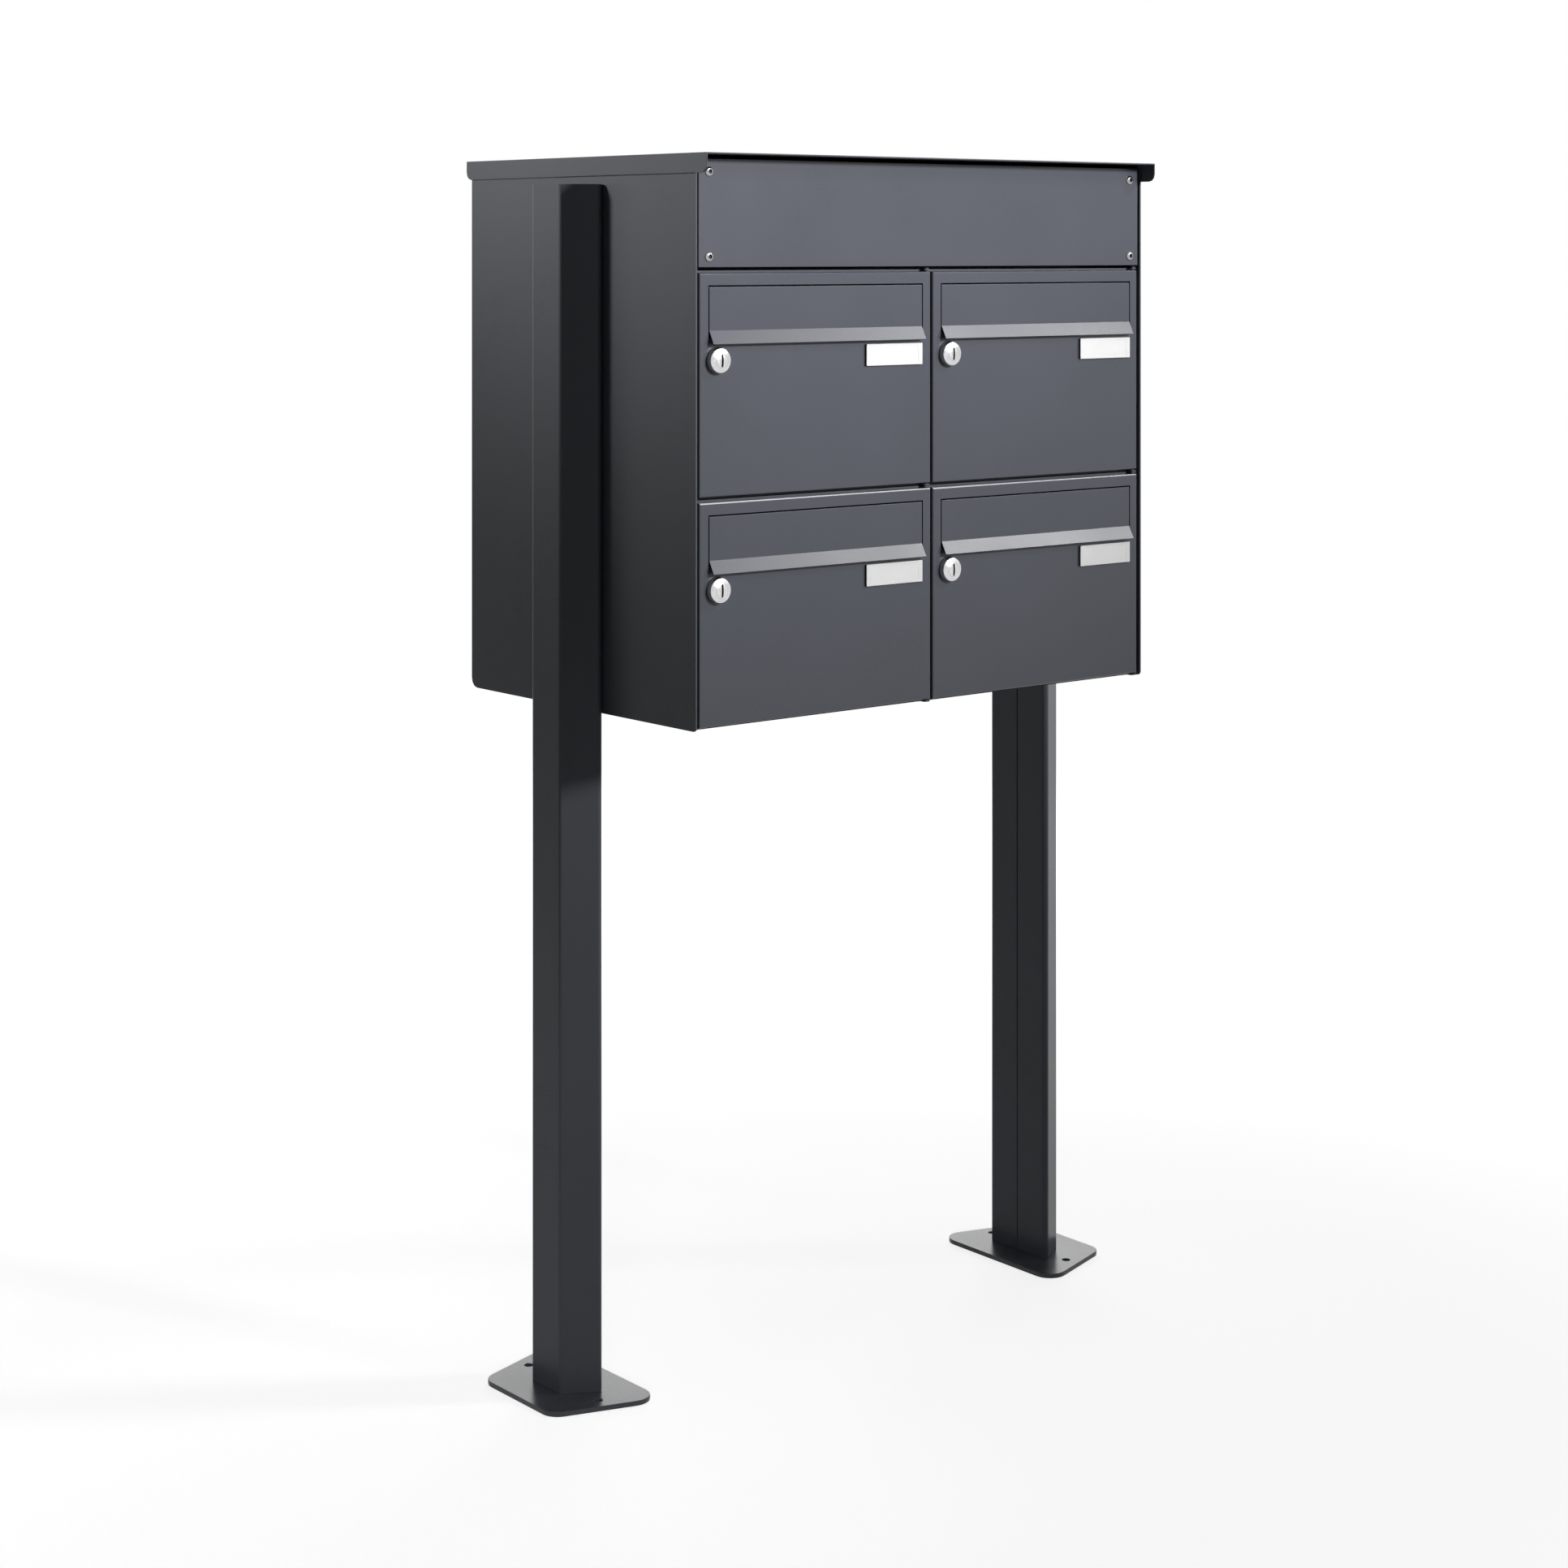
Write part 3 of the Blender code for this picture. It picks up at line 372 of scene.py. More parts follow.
def dress(name, material, edge, limit=EDGE_ANGLE, steps=2):
    """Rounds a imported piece's edges past the limit angle, evens its shading and gives it a finish."""
    item = NODES[name]
    weld = item.modifiers.new("weld", "WELD")
    weld.merge_threshold = WELD_GAP
    merge = item.modifiers.new("merge_flat_faces", "DECIMATE")
    merge.decimate_type = "DISSOLVE"
    merge.angle_limit = math.radians(FLAT_ANGLE)
    rounding = item.modifiers.new("rounding", "BEVEL")
    rounding.width = edge
    rounding.segments = steps
    rounding.limit_method = "ANGLE"
    rounding.angle_limit = math.radians(limit)
    smooth = item.modifiers.new("shading", "NODES")
    smooth.node_group = shading_tree()
    even = item.modifiers.new("even_normals", "WEIGHTED_NORMAL")
    even.keep_sharp = True
    even.weight = FACE_WEIGHT
    for slot in item.material_slots:
        slot.material = material


# New pieces, made of rings of points about the local Y axis; -Y is the front

ROUND = 48  # points in a ring
CREASE = 38.0  # degrees; sharper edges stay sharp in the shading


def circle(radius, count=ROUND):
    turns = (2 * math.pi * n / count for n in range(count))
    return [(radius * math.sin(turn), radius * math.cos(turn)) for turn in turns]


def sided(radius, sides, count=ROUND):
    """Regular outline with its first corner at the top, as many points on each side."""
    corners = circle(radius, sides)
    parts = count // sides
    outline = []
    for n, (x, z) in enumerate(corners):
        far_x, far_z = corners[(n + 1) % sides]
        outline += [(x + (far_x - x) * k / parts, z + (far_z - z) * k / parts) for k in range(parts)]
    return outline


def square(half, count=ROUND):
    """Square with level sides, starting at the middle of its top."""
    outline = sided(half * math.sqrt(2), 4, count)
    eighth = math.sqrt(0.5)  # sine and cosine of an eighth of a turn
    turned = [(eighth * (x + z), eighth * (z - x)) for x, z in outline]
    shift = count // 8
    return turned[-shift:] + turned[:-shift]


def key_slot(width, height, count=ROUND):
    """Upright slot with round ends, starting at its top."""
    radius, reach = width / 2, (height - width) / 2
    quarter = count // 4
    outline = []
    for n in range(quarter):
        turn = math.pi * (n / quarter - 0.5)
        outline.append((radius * math.sin(turn), reach + radius * math.cos(turn)))
    outline += [(radius, reach - 2 * reach * n / quarter) for n in range(quarter)]
    outline += [(-x, -z) for x, z in outline]
    return outline[quarter // 2:] + outline[:quarter // 2]


def oblong(width, height, radius, steps=4):
    """Rectangle with round corners."""
    outline = []
    for start, sign_x, sign_z in ((0.0, 1, 1), (0.5, 1, -1), (1.0, -1, -1), (1.5, -1, 1)):
        centre_x, centre_z = sign_x * (width / 2 - radius), sign_z * (height / 2 - radius)
        for n in range(steps + 1):
            turn = math.pi * (start + 0.5 * n / steps)
            outline.append((centre_x + radius * math.sin(turn), centre_z + radius * math.cos(turn)))
    return outline


def between(first, second, share_of_second):
    keep = 1 - share_of_second
    return [
        (x * keep + far_x * share_of_second, z * keep + far_z * share_of_second)
        for (x, z), (far_x, far_z) in zip(first, second)
    ]


def at(depth, outline):
    """Ring of an outline at one depth, or at a depth worked out from each point's distance to the axis."""
    if callable(depth):
        return [(x, depth(math.hypot(x, z)), z) for x, z in outline]
    return [(x, depth, z) for x, z in outline]


def thread(radius, depth, start, end, pitch):
    """Rings of a screw thread's ridges between two depths."""
    rings = []
    for n in range(int((end - start) / pitch)):
        rings.append(at(start + n * pitch, circle(radius)))
        rings.append(at(start + (n + 0.5) * pitch, circle(radius - depth)))
    return rings


def loft(rings, around=False):
    """Skin over rings of equal counts; its ends are closed, or joined to each other when it goes around."""
    work = bmesh.new()
    loops = [[work.verts.new(point) for point in ring] for ring in rings]
    followers = loops[1:] + loops[:1] if around else loops[1:]
    for first, second in zip(loops, followers):
        for n in range(len(first)):
            follow = (n + 1) % len(first)
            work.faces.new((first[n], first[follow], second[follow], second[n]))
    if not around:
        work.faces.new(loops[0])
        work.faces.new(loops[-1])
    bmesh.ops.recalc_face_normals(work, faces=work.faces)
    return work


def add_piece(name, work, material, place, body, turn=0.0):
    """Makes a piece of a skin at a place in the unit's frame, riding on a body."""
    mesh = bpy.data.meshes.new(name)
    work.to_mesh(mesh)
    work.free()
    mesh.materials.append(material)
    mesh.shade_smooth()
    mesh.set_sharp_from_angle(angle=math.radians(CREASE))
    piece = bpy.data.objects.new(name, mesh)
    bpy.context.scene.collection.objects.link(piece)
    piece.location = place
    piece.rotation_euler = (0.0, 0.0, turn)
    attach(piece, body)
    even = piece.modifiers.new("even_normals", "WEIGHTED_NORMAL")
    even.keep_sharp = True
    return piece


def second_finish(piece, material, chosen):
    """Gives a second finish to the faces of a piece whose centres are chosen."""
    piece.data.materials.append(material)
    for polygon in piece.data.polygons:
        polygon.material_index = int(chosen(polygon.center))


# Operators

class MAILBOX_OT_cladding(bpy.types.Operator):
    """Coats the side panels, roof, back panel and header"""

    bl_idname = "mailbox.cladding"
    bl_label = "Cladding"

    def execute(self, context):
        edges = context.scene.mailbox_edges
        coat = finish(context, "satin_anthracite_coat")
        for name in ("left_side_panel", "right_side_panel", "back_panel", "header_frame"):
            dress(name, coat, edges.sheet)
        dress("roof_cover", coat, edges.fold, steps=3)
        dress("header_plate", finish(context, "door_anthracite_coat"), edges.fine)
        return {"FINISHED"}


class MAILBOX_OT_posts(bpy.types.Operator):
    """Coats the posts and the base plates"""

    bl_idname = "mailbox.posts"
    bl_label = "Posts and Base Plates"

    def execute(self, context):
        edges = context.scene.mailbox_edges
        for side in COLUMNS:
            dress(f"{side}_post", finish(context, "satin_anthracite_coat"), edges.sheet)
            dress(f"{side}_base_plate", finish(context, "glossy_anthracite_coat"), edges.plate, steps=3)
        return {"FINISHED"}


class MAILBOX_OT_letterboxes(bpy.types.Operator):
    """Coats the letterbox bodies behind the doors"""

    bl_idname = "mailbox.letterboxes"
    bl_label = "Letterboxes"

    def execute(self, context):
        edges = context.scene.mailbox_edges
        for tag in TAGS:
            dress(f"letterbox_{tag}", finish(context, "satin_anthracite_coat"), edges.sheet)
        return {"FINISHED"}


class MAILBOX_OT_doors(bpy.types.Operator):
    """Coats the doors and the letter flaps"""

    bl_idname = "mailbox.doors"
    bl_label = "Doors and Flaps"

    def execute(self, context):
        edges = context.scene.mailbox_edges
        coat = finish(context, "door_anthracite_coat")
        # The lower doors' upper folds carry a painted highlight
        rubbed = finish(context, "rubbed_anthracite_coat")
        for tag in TAGS:
            dress(f"door_{tag}", rubbed if tag.startswith("lower") else coat, edges.sheet)
            dress(f"letter_flap_{tag}", coat, edges.sheet, limit=FLAP_EDGE_ANGLE)
        return {"FINISHED"}


class MAILBOX_OT_pins(bpy.types.Operator):
    """Finishes the hinge pins, the flap pins and the lock cams"""

    bl_idname = "mailbox.pins"
    bl_label = "Pins and Cams"

    def execute(self, context):
        edges = context.scene.mailbox_edges
        for side in COLUMNS:
            for level in ("bottom", "middle", "top"):
                dress(f"hinge_pin_{level}_{side}", finish(context, "satin_anthracite_coat"), edges.fine)
        for tag in TAGS:
            dress(f"flap_pin_{tag}", finish(context, "blackened_steel"), edges.fine)
            dress(f"lock_cam_{tag}", finish(context, "bright_zinc"), edges.fine)
        return {"FINISHED"}


class MAILBOX_OT_locks(bpy.types.Operator):
    """Builds the lock caps, plugs, dark rings and nuts"""

    bl_idname = "mailbox.locks"
    bl_label = "Locks"

    # Radii, and depths from the door's face, where forward is negative
    BORE = 0.0065
    COUNTERBORE = 0.0075
    STEP = -0.0043  # floor of the counterbore
    FACE_STEPS, EDGE_STEPS = 3, 6
    PLATED_SHARE = 0.8  # of the rounded edge; the wall behind it takes a darker metal as painted shade
    FOOT_GAP = 0.0001  # between the cap and the dark ring
    FOOT_EDGE, FOOT_INSET = 0.0005, 0.0001  # height and depth of the chamfer at the wall's foot
    NECK = 0.0092
    NECK_PLAIN = 0.0013
    NECK_EDGE = 0.0006
    THREAD_START, THREAD_SPARE = 0.0014, 0.0004
    THREAD_DEPTH, THREAD_PITCH = 0.0005, 0.001
    HEAD_GAP, BARREL_GAP = 0.0001, 0.0003  # between plug and cap
    PLUG_STEPS = 4
    SHANK = 0.003
    SLOT_DEPTH = 0.0034
    MOUTH_FLARE, MOUTH_DEPTH = 0.0006, 0.0005
    SLOT_MARGIN = 0.0002  # painted shade, black, reaches this far round the slot
    RING_OUT = 0.0131
    RING_LIFT = 0.0003  # off the door
    RING_GAP, RING_EDGE, RING_STEPS = 0.0003, 0.0005, 3
    NUT_OUT, NUT_CROWN = 0.0138, 0.9  # corner radius, and the share of it that is flat at the ends
    NUT_START, NUT_END = 0.0015, 0.0050
    NUT_GAP = 0.0002
    CHAMFER = 0.0004

    def execute(self, context):
        lock = context.scene.mailbox_lock
        chrome, nickel = finish(context, "lock_chrome"), finish(context, "satin_nickel")
        black, zinc = finish(context, "blackened_steel"), finish(context, "bright_zinc")
        dark = finish(context, "dark_plastic")
        neck_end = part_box(f"lock_body_{TAGS[0]}")[1].y - door_face(TAGS[0])
        shank_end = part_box(f"lock_plug_{TAGS[0]}")[1].y - door_face(TAGS[0])
        shoulder = self.face(lock)(lock.face_radius) + self.PLATED_SHARE * lock.edge_radius
        slot_x = lock.slot_width / 2 + self.SLOT_MARGIN
        slot_z = lock.slot_height / 2 + self.SLOT_MARGIN

        def on_wall(point):
            return point.y > shoulder

        def in_slot(point):
            return abs(point.x) < slot_x and abs(point.z) < slot_z and point.y < self.STEP

        for tag in TAGS:
            centre, door = middle(f"lock_body_{tag}"), f"door_{tag}"
            place = (centre.x, door_face(tag), centre.z)
            work = self.cap(lock, neck_end)
            cap = add_piece(f"lock_cap_{tag}", work, chrome, place, door)
            # The cap's wall takes the darker metal as painted shade
            second_finish(cap, nickel, on_wall)
            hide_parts(f"lock_body_{tag}")
            work = self.plug(lock, neck_end, shank_end)
            plug = add_piece(f"lock_barrel_{tag}", work, chrome, place, f"lock_{tag}")
            # Black on the key slot's faces is painted shade
            second_finish(plug, black, in_slot)
            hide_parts(f"lock_plug_{tag}")
            add_piece(f"lock_ring_{tag}", self.ring(lock), dark, place, door)
            add_piece(f"lock_nut_{tag}", self.nut(), zinc, place, door)
        return {"FINISHED"}

    def face(self, lock):
        """Depth of the domed face at a distance from the axis."""
        return lambda radius: -lock.proud + radius * radius / (2 * lock.dome_radius)

    def cap(self, lock, neck_end):
        face = self.face(lock)
        bore, counterbore = circle(self.BORE), circle(self.COUNTERBORE)
        rings = [at(neck_end, bore), at(self.STEP, bore), at(self.STEP, counterbore)]
        rings += [at(face(self.COUNTERBORE), counterbore)]
        for n in range(1, self.FACE_STEPS + 1):
            reach = (lock.face_radius - self.COUNTERBORE) * n / self.FACE_STEPS
            rings.append(at(face, circle(self.COUNTERBORE + reach)))
        shoulder = face(lock.face_radius)
        for n in range(1, self.EDGE_STEPS + 1):
            turn = math.pi / 2 * n / self.EDGE_STEPS
            radius = lock.face_radius + lock.edge_radius * math.sin(turn)
            rings.append(at(shoulder + lock.edge_radius * (1 - math.cos(turn)), circle(radius)))
        foot = -lock.ring_height - self.FOOT_GAP
        rings += [at(foot - self.FOOT_EDGE, circle(lock.wall_radius))]
        rings += [at(foot, circle(lock.wall_radius - self.FOOT_INSET)), at(foot, circle(self.NECK))]
        rings += [at(self.NECK_PLAIN, circle(self.NECK))]
        thread_end = neck_end - self.THREAD_SPARE
        rings += thread(self.NECK, self.THREAD_DEPTH, self.THREAD_START, thread_end, self.THREAD_PITCH)
        rings += [at(neck_end, circle(self.NECK - self.NECK_EDGE))]
        return loft(rings, around=True)

    def plug(self, lock, neck_end, shank_end):
        face = self.face(lock)
        head, barrel = circle(self.COUNTERBORE - self.HEAD_GAP), circle(self.BORE - self.BARREL_GAP)
        step = self.STEP - self.BARREL_GAP
        slot = key_slot(lock.slot_width, lock.slot_height)
        mouth = key_slot(lock.slot_width + self.MOUTH_FLARE, lock.slot_height + self.MOUTH_FLARE)
        rings = [at(face(0) + self.SLOT_DEPTH, slot), at(face(0) + self.MOUTH_DEPTH, slot), at(face, mouth)]
        rings += [at(face, between(mouth, head, n / self.PLUG_STEPS)) for n in range(1, self.PLUG_STEPS + 1)]
        rings += [at(step, head), at(step, barrel), at(neck_end, barrel), at(neck_end, square(self.SHANK))]
        rings += [at(shank_end - self.CHAMFER, square(self.SHANK))]
        rings += [at(shank_end, square(self.SHANK - self.CHAMFER))]
        return loft(rings)

    def ring(self, lock):
        inner, top = circle(self.NECK + self.RING_GAP), -lock.ring_height
        rings = [at(-self.RING_LIFT, inner), at(top, inner)]
        for n in range(self.RING_STEPS + 1):
            turn = math.pi / 2 * n / self.RING_STEPS
            depth = top + self.RING_EDGE * (1 - math.cos(turn))
            rings.append(at(depth, circle(self.RING_OUT - self.RING_EDGE * (1 - math.sin(turn)))))
        rings += [at(-self.RING_LIFT, circle(self.RING_OUT))]
        return loft(rings, around=True)

    def nut(self):
        bore, low, high = self.NECK + self.NUT_GAP, self.NUT_START, self.NUT_END
        hexagon, crown = sided(self.NUT_OUT, 6), circle(self.NUT_OUT * self.NUT_CROWN)
        rings = [at(low, circle(bore)), at(low, crown), at(low + self.CHAMFER, hexagon)]
        rings += [at(high - self.CHAMFER, hexagon), at(high, crown), at(high, circle(bore + self.CHAMFER))]
        rings += [at(high - self.CHAMFER, circle(bore))]
        return loft(rings, around=True)


class MAILBOX_OT_name_plates(bpy.types.Operator):
    """Builds the name plates: a dark tray, a white card with a border, and a clear pane"""

    bl_idname = "mailbox.name_plates"
    bl_label = "Name Plates"

    TRAY_DEPTH, CARD_DEPTH = 0.0008, 0.0002  # tops of tray and card behind the pane's front
    TRAY_BACK, TRAY_EDGE = 0.0003, 0.0002  # how far the tray's edges are softened
    # Inset from the tray's outline, softened edge, and gap to the layer below
    CARD_INSET, CARD_EDGE, CARD_GAP = 0.0002, 0.0001, 0.00005
    PANE_INSET, PANE_EDGE, PANE_GAP = 0.0004, 0.0001, 0.00002
    PANE_WALL = 0.00006  # depth of the pane's softened edge
    FIELD_SLOPE = 0.0002
    LEAST_CORNER = 0.0002

    def execute(self, context):
        plate = context.scene.mailbox_name_plate
        dark, stock = finish(context, "dark_plastic"), finish(context, "name_card_stock")
        clear = finish(context, "clear_pane")
        for tag in TAGS:
            low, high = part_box(f"name_cover_{tag}")
            centre, door, face = (low + high) / 2, f"door_{tag}", door_face(tag)
            place = (centre.x, face, centre.z)
            sizes = high.x - low.x, high.z - low.z, low.y - face, high.y - face
            tray, label, pane = self.layers(plate, *sizes)
            add_piece(f"name_tray_{tag}", tray, dark, place, door)
            card = add_piece(f"name_label_{tag}", label, stock, place, door)
            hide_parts(f"name_card_{tag}")
            pane = add_piece(f"name_pane_{tag}", pane, clear, place, door)
            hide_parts(f"name_cover_{tag}")
        return {"FINISHED"}

    def layers(self, plate, width, height, front, back):
        """Skins of tray, card and pane between a front and a back depth."""

        def ring(depth, inset):
            corner = max(plate.corner - inset, self.LEAST_CORNER)
            return at(depth, oblong(width - 2 * inset, height - 2 * inset, corner))

        def field(depth, inset):
            across = width - 2 * (plate.side_border + inset)
            return at(depth, oblong(across, height - 2 * (plate.edge_border + inset), plate.corner))

        tray_top, card_top = front + self.TRAY_DEPTH, front + self.CARD_DEPTH
        tray = [ring(back, self.TRAY_BACK), ring(back - self.TRAY_EDGE, 0.0)]
        tray += [ring(tray_top + self.TRAY_EDGE, 0.0), ring(tray_top, self.TRAY_EDGE)]
        card = [ring(tray_top - self.CARD_GAP, self.CARD_INSET)]
        card += [ring(card_top + self.CARD_EDGE, self.CARD_INSET)]
        card += [ring(card_top, self.CARD_INSET + self.CARD_EDGE)]
        card += [field(card_top, 0.0), field(card_top + plate.recess, self.FIELD_SLOPE)]
        pane = [ring(card_top - self.PANE_GAP, self.PANE_INSET)]
        pane += [ring(front + self.PANE_WALL, self.PANE_INSET)]
        pane += [ring(front, self.PANE_INSET + self.PANE_EDGE)]
        return loft(tray), loft(card), loft(pane)


class MAILBOX_OT_fasteners(bpy.types.Operator):
    """Builds the header's screws and the bolts that hold the letterboxes to the posts"""

    bl_idname = "mailbox.fasteners"
    bl_label = "Screws and Bolts"

    SCREW_SHANK, BOLT_SHANK = 0.0025, 0.004
    SCREW_SEAT, BOLT_SEAT = 0.0003, 0.0  # the head's underside in front of its seat
    BOLT_HEAD = 0.0042
    SHANK_PLAIN, SHANK_END = 0.0006, 0.0006
    THREAD_SPARE = 0.0008
    # Shares of the head's radius
    SOCKET, FLAT_TOP = 0.5, 0.56
    # Shares of the head's height
    SOCKET_TIP, SOCKET_FLOOR, SOCKET_MOUTH = 0.62, 0.5, 0.06
    # Shares of the socket's radius
    TIP_WIDTH, MOUTH_WIDTH = 0.3, 1.08
    # Shares of the shank's radius
    THREAD_DEPTH, THREAD_PITCH = 0.14, 0.32
    END_START, END_WIDTH = 0.9, 0.6
    DOME_STEPS = 7

    def execute(self, context):
        for row in ROWS:
            for column in COLUMNS:
                self.add_screw(context, f"{row}_{column}")
                self.add_bolt(context, f"{row}_{column}", column == "left")
        return {"FINISHED"}

    def add_screw(self, context, tag):
        name = f"header_screw_{tag}"
        (low, high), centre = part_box(name), middle(name)
        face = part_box("header_plate")[0].y
        radius = (high.x - low.x) / 2
        work = self.screw(face - low.y, radius, high.y - face, self.SCREW_SHANK, self.SCREW_SEAT)
        zinc, place = finish(context, "bright_zinc"), (centre.x, face, centre.z)

        def in_socket(point):
            return point.y < 0 and math.hypot(point.x, point.z) < self.SOCKET * radius

        screw = add_piece(f"dome_screw_{tag}", work, zinc, place, "cabinet")
        # Black on the socket's faces is painted shade
        second_finish(screw, finish(context, "blackened_steel"), in_socket)
        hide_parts(name)

    def add_bolt(self, context, tag, at_left):
        name = f"post_bolt_{tag}"
        (low, high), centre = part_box(name), middle(name)
        inward, head = (1, high.x) if at_left else (-1, low.x)
        reach = high.x - low.x - self.BOLT_HEAD
        work = self.screw(self.BOLT_HEAD, (high.y - low.y) / 2, reach, self.BOLT_SHANK, self.BOLT_SEAT)
        place = (head - inward * self.BOLT_HEAD, centre.y, centre.z)
        zinc, turn = finish(context, "bright_zinc"), inward * math.pi / 2
        bolt = add_piece(f"carcass_bolt_{tag}", work, zinc, place, "cabinet", turn)
        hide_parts(name)

    def screw(self, height, radius, reach, shank, seat):
        """Dome-head screw with a hexagon socket; its head stands in front of depth 0."""
        crown, socket = height - seat, radius * self.SOCKET
        flat = math.asin(self.FLAT_TOP)
        top = -seat - crown * math.cos(flat)

        def dome(turn):
            return at(-seat - crown * math.cos(turn), circle(radius * math.sin(turn)))

        def hexagon(sink, width):
            return at(top + crown * sink, sided(socket * width, 6))

        rings = [hexagon(self.SOCKET_TIP, self.TIP_WIDTH), hexagon(self.SOCKET_FLOOR, 1)]
        rings += [hexagon(self.SOCKET_MOUTH, 1), hexagon(0, self.MOUTH_WIDTH)]
        for n in range(self.DOME_STEPS + 1):
            rings.append(dome(flat + (math.pi / 2 - flat) * n / self.DOME_STEPS))
        rings += [at(-seat, circle(shank)), at(-seat + self.SHANK_PLAIN, circle(shank))]
        start, end = -seat + self.THREAD_SPARE, reach - self.THREAD_SPARE
        rings += thread(shank, shank * self.THREAD_DEPTH, start, end, shank * self.THREAD_PITCH)
        rings += [at(reach - self.SHANK_END, circle(shank * self.END_START))]
        rings += [at(reach, circle(shank * self.END_WIDTH))]
        return loft(rings)


class MAILBOX_OT_stage(bpy.types.Operator):
    """Lays the floor and sets up the backdrop, the lights and the camera"""

    bl_idname = "mailbox.stage"
    bl_label = "Stage"

    CAMERA_PLACE = (-2.0426, -2.4417, 1.1362)
    CAMERA_TURN = -39.33
    LENS, SENSOR = 68.635, 36.0
    SHIFT = -0.3412
    FLOOR_HALF = 14.0
    FLOOR_DROP = 0.0005  # keeps the floor clear of the base plates
    GLOW_START, GLOW_END = 0.6, 2.0  # distances between which the floor fades into the backdrop
    GLOW_NEAR = 0.81
    WARM = (1.0, 0.96, 0.90)
    # Place, target, width, height, spread in degrees
    SOFTBOXES = {
        "key_softbox": ((2.44, -1.846, 2.77), (0.0, -0.2, 1.05), 0.55, 1.1, 26.0),
        "rim_softbox": ((2.1, 2.15, 1.15), (0.0, 0.0, 0.0), 2.4, 0.8, 180.0),
        "ceiling_softbox": ((0.0, -0.3, 4.0), (0.0, -0.3, 0.0), 3.0, 3.0, 180.0),
    }
    # Place, target, cone in degrees, radius of the lamp
    SPOTS = {
        "door_light": ((1.338, -3.877, 2.582), (-0.1, -0.2, 1.75), 37.0, 0.35),
        "panel_light": ((-2.622, 1.947, 2.193), (-0.3, 0.08, 1.8), 35.0, 0.22),
        "post_light": ((-2.536, -2.64, 0.708), (-0.32, -0.1, 0.1), 18.0, 0.25),
    }

    def execute(self, context):
        scene, studio = context.scene, context.scene.mailbox_studio
        scene.view_settings.view_transform = "Standard"
        self.add_camera(scene)
        self.add_floor(scene, studio)
        self.add_world(scene, studio)
        for name, details in self.SOFTBOXES.items():
            self.add_softbox(scene, name, getattr(studio, name), *details)
        for name, details in self.SPOTS.items():
            self.add_spot(scene, name, getattr(studio, name), *details)
        bpy.data.lights["panel_light"].color = self.WARM
        scene.objects["panel_light"].visible_glossy = False
        return {"FINISHED"}

    def add_camera(self, scene):
        data = bpy.data.cameras.new("photo_camera")
        data.lens, data.sensor_width, data.shift_y = self.LENS, self.SENSOR, self.SHIFT
        camera = bpy.data.objects.new("photo_camera", data)
        camera.location = self.CAMERA_PLACE
        camera.rotation_euler = (math.pi / 2, 0.0, math.radians(self.CAMERA_TURN))
        scene.collection.objects.link(camera)
        scene.camera = camera

    def seen(self, tree):
        """1 where the ray comes from the camera, a reflection or a clear piece."""
        path = node(tree, "ShaderNodeLightPath").outputs
        seen = path["Is Camera Ray"]
        for kind in ("Is Glossy Ray", "Is Transmission Ray"):
            seen = node(tree, "ShaderNodeMath", {0: seen, 1: path[kind]}, operation="MAXIMUM").outputs[0]
        return seen

    def add_floor(self, scene, studio):
        work = bmesh.new()
        bmesh.ops.create_grid(work, x_segments=8, y_segments=8, size=self.FLOOR_HALF)
        mesh = bpy.data.meshes.new("floor")
        work.to_mesh(mesh)
        work.free()
        mesh.materials.append(self.floor_finish(studio))
        floor = bpy.data.objects.new("floor", mesh)
        floor.location.z = CAD_BOX[0].z - self.FLOOR_DROP
        scene.collection.objects.link(floor)

    def floor_finish(self, studio):
        """Pale floor that takes soft shadows and fades into the backdrop."""
        material, tree, shader, place = new_finish("pale_floor")
        join(tree, shader, {
            "Base Color": tone(tree, noise(tree, place, scale=3.0, detail=2.0), studio.floor, spread=0.01),
            "Roughness": span(tree, noise(tree, place, scale=40.0, detail=2.0), low=0.7, high=0.8),
        })
        shader.inputs["Specular IOR Level"].default_value = 0.0
        distance = node(tree, "ShaderNodeVectorMath", {0: place}, operation="LENGTH").outputs["Value"]
        limits = {
            "From Min": self.GLOW_START, "From Max": self.GLOW_END, "To Min": self.GLOW_NEAR, "To Max": 1.0
        }
        fade = node(
            tree, "ShaderNodeMapRange", {"Value": distance, **limits}, interpolation_type="SMOOTHSTEP"
        )
        sockets = {0: fade.outputs["Result"], 1: self.seen(tree)}
        strength = node(tree, "ShaderNodeMath", sockets, operation="MULTIPLY").outputs[0]
        glow = node(tree, "ShaderNodeEmission", {"Color": (*studio.backdrop, 1.0), "Strength": strength})
        lit = node(tree, "ShaderNodeAddShader", {0: shader.outputs[0], 1: glow.outputs[0]})
        tree.links.new(lit.outputs[0], tree.nodes["Material Output"].inputs["Surface"])
        return material

    def add_world(self, scene, studio):
        """Backdrop that is seen and mirrored but lights nothing else."""
        world = bpy.data.worlds.new("studio")
        scene.world = world
        world.use_nodes = True
        backdrop = world.node_tree.nodes["Background"]
        backdrop.inputs["Color"].default_value = (*studio.backdrop, 1.0)
        world.node_tree.links.new(self.seen(world.node_tree), backdrop.inputs["Strength"])

    def add_softbox(self, scene, name, watts, place, target, width, height, spread):
        data = bpy.data.lights.new(name, "AREA")
        data.energy = watts
        data.shape = "RECTANGLE"
        data.size, data.size_y = width, height
        data.spread = math.radians(spread)
        self.aim(scene, data, place, target)

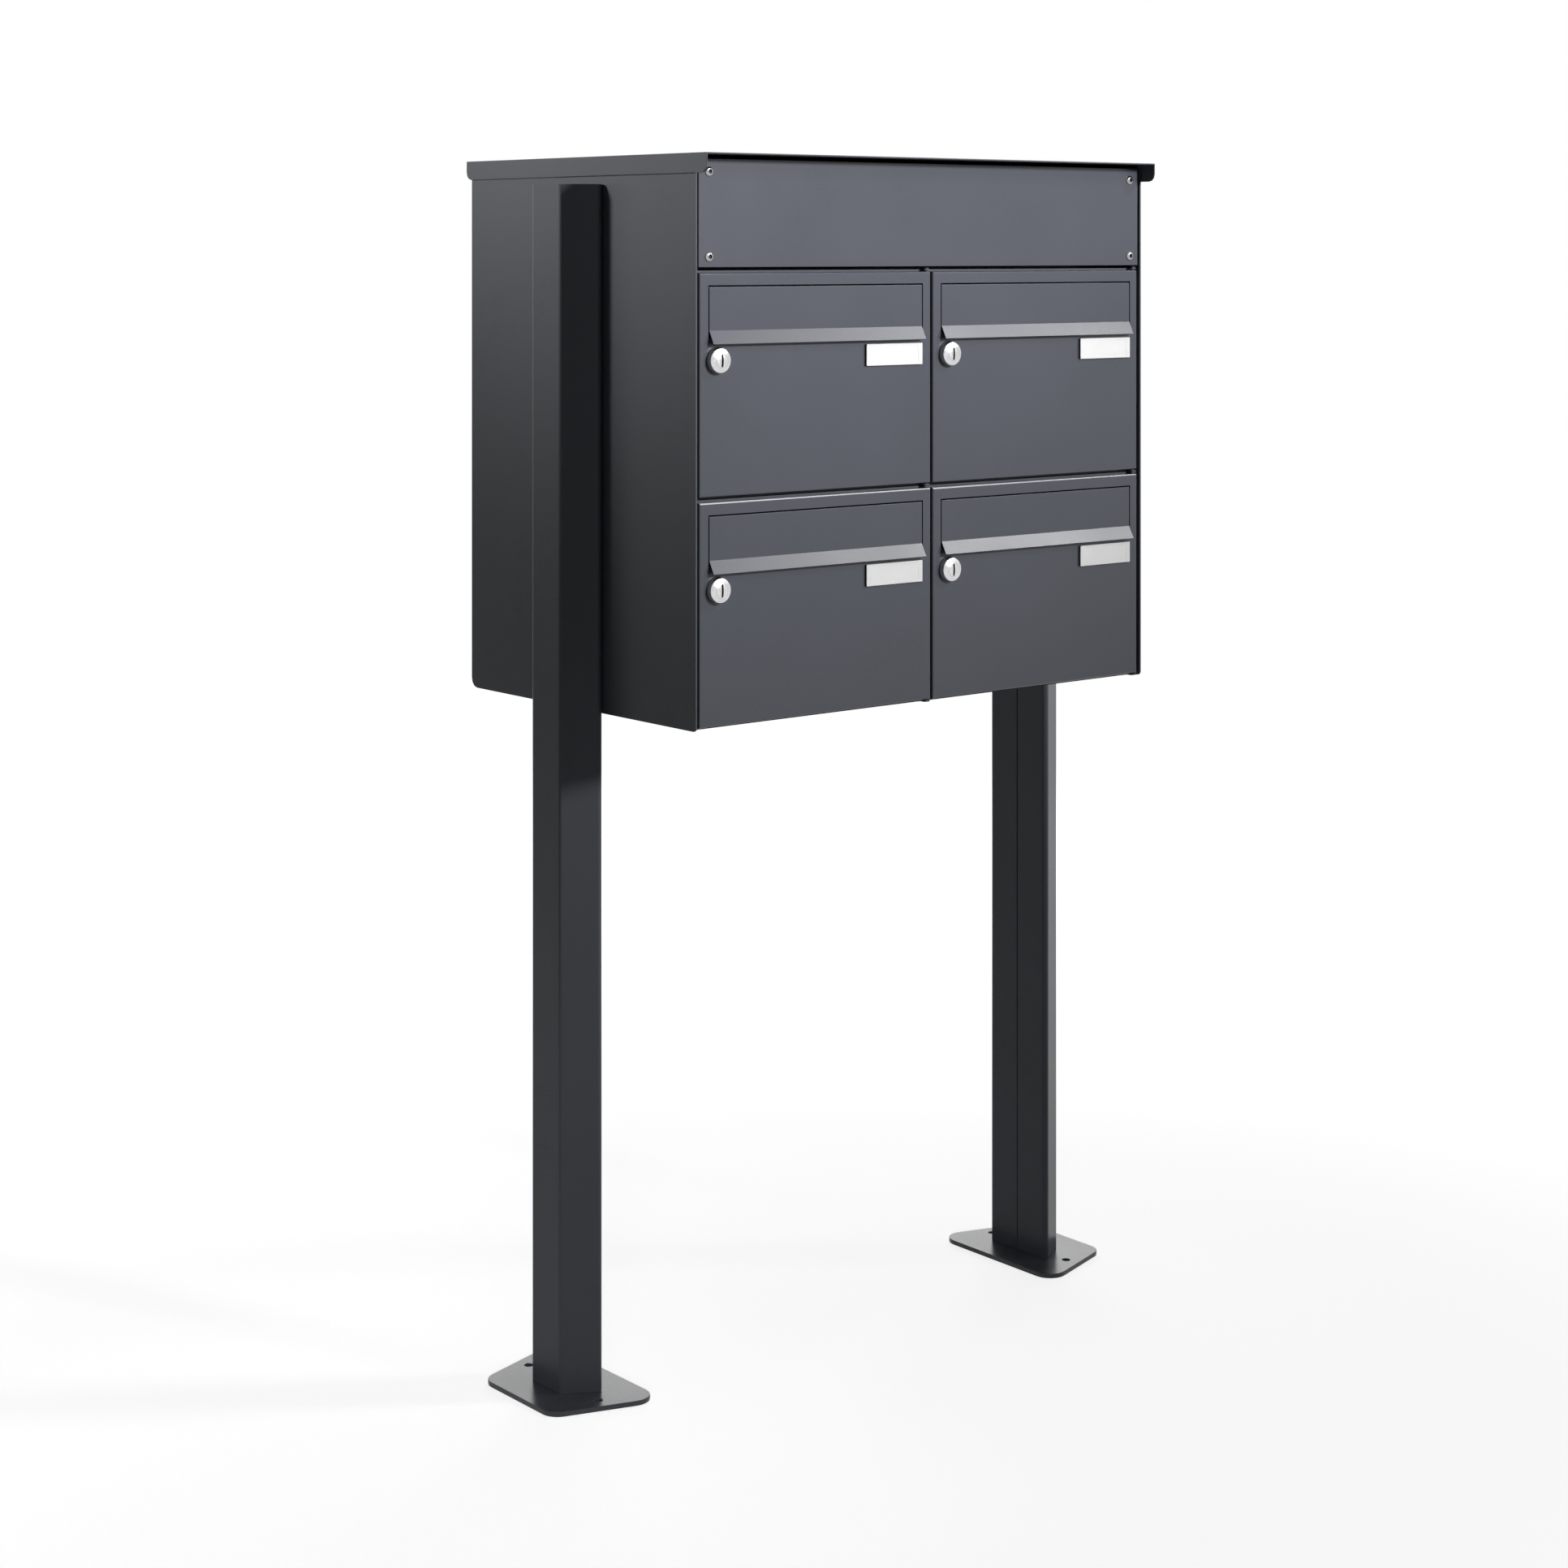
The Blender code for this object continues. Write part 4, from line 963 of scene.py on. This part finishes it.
    def add_spot(self, scene, name, watts, place, target, cone, radius):
        """Round lamp whose beam fades out towards the cone's edge."""
        data = bpy.data.lights.new(name, "SPOT")
        data.energy = watts
        data.spot_size, data.spot_blend = math.radians(cone), 1.0
        data.shadow_soft_size = radius
        self.aim(scene, data, place, target)

    def aim(self, scene, data, place, target):
        lamp = bpy.data.objects.new(data.name, data)
        lamp.location = place
        lamp.rotation_euler = (Vector(target) - Vector(place)).to_track_quat("-Z", "Y").to_euler()
        lamp.visible_camera = False
        scene.collection.objects.link(lamp)


SETTINGS = {
    "mailbox_finish": FinishSettings,
    "mailbox_edges": EdgeSettings,
    "mailbox_lock": LockSettings,
    "mailbox_name_plate": NamePlateSettings,
    "mailbox_studio": StudioSettings,
}
OPERATORS = (
    MAILBOX_OT_stage,
    MAILBOX_OT_cladding,
    MAILBOX_OT_posts,
    MAILBOX_OT_letterboxes,
    MAILBOX_OT_doors,
    MAILBOX_OT_pins,
    MAILBOX_OT_locks,
    MAILBOX_OT_name_plates,
    MAILBOX_OT_fasteners,
)


class MAILBOX_PT_dressing(bpy.types.Panel):
    """Lists the unit's settings and operators"""

    bl_idname = "MAILBOX_PT_dressing"
    bl_label = "Cluster Mailbox"
    bl_space_type = "VIEW_3D"
    bl_region_type = "UI"
    bl_category = "Mailbox"

    def draw(self, context):
        for name, group in SETTINGS.items():
            box = self.layout.box()
            for setting in group.__annotations__:
                box.prop(getattr(context.scene, name), setting)
        for operator in OPERATORS:
            self.layout.operator(operator.bl_idname)


def register():
    for item in (*SETTINGS.values(), *OPERATORS, MAILBOX_PT_dressing):
        bpy.utils.register_class(item)
    for name, group in SETTINGS.items():
        setattr(bpy.types.Scene, name, PointerProperty(type=group))


def unregister():
    for name in SETTINGS:
        delattr(bpy.types.Scene, name)
    for item in reversed((*SETTINGS.values(), *OPERATORS, MAILBOX_PT_dressing)):
        bpy.utils.unregister_class(item)


def main():
    register()
    for operator in OPERATORS:
        group, name = operator.bl_idname.split(".")
        getattr(getattr(bpy.ops, group), name)()


if __name__ == "__main__":
    main()
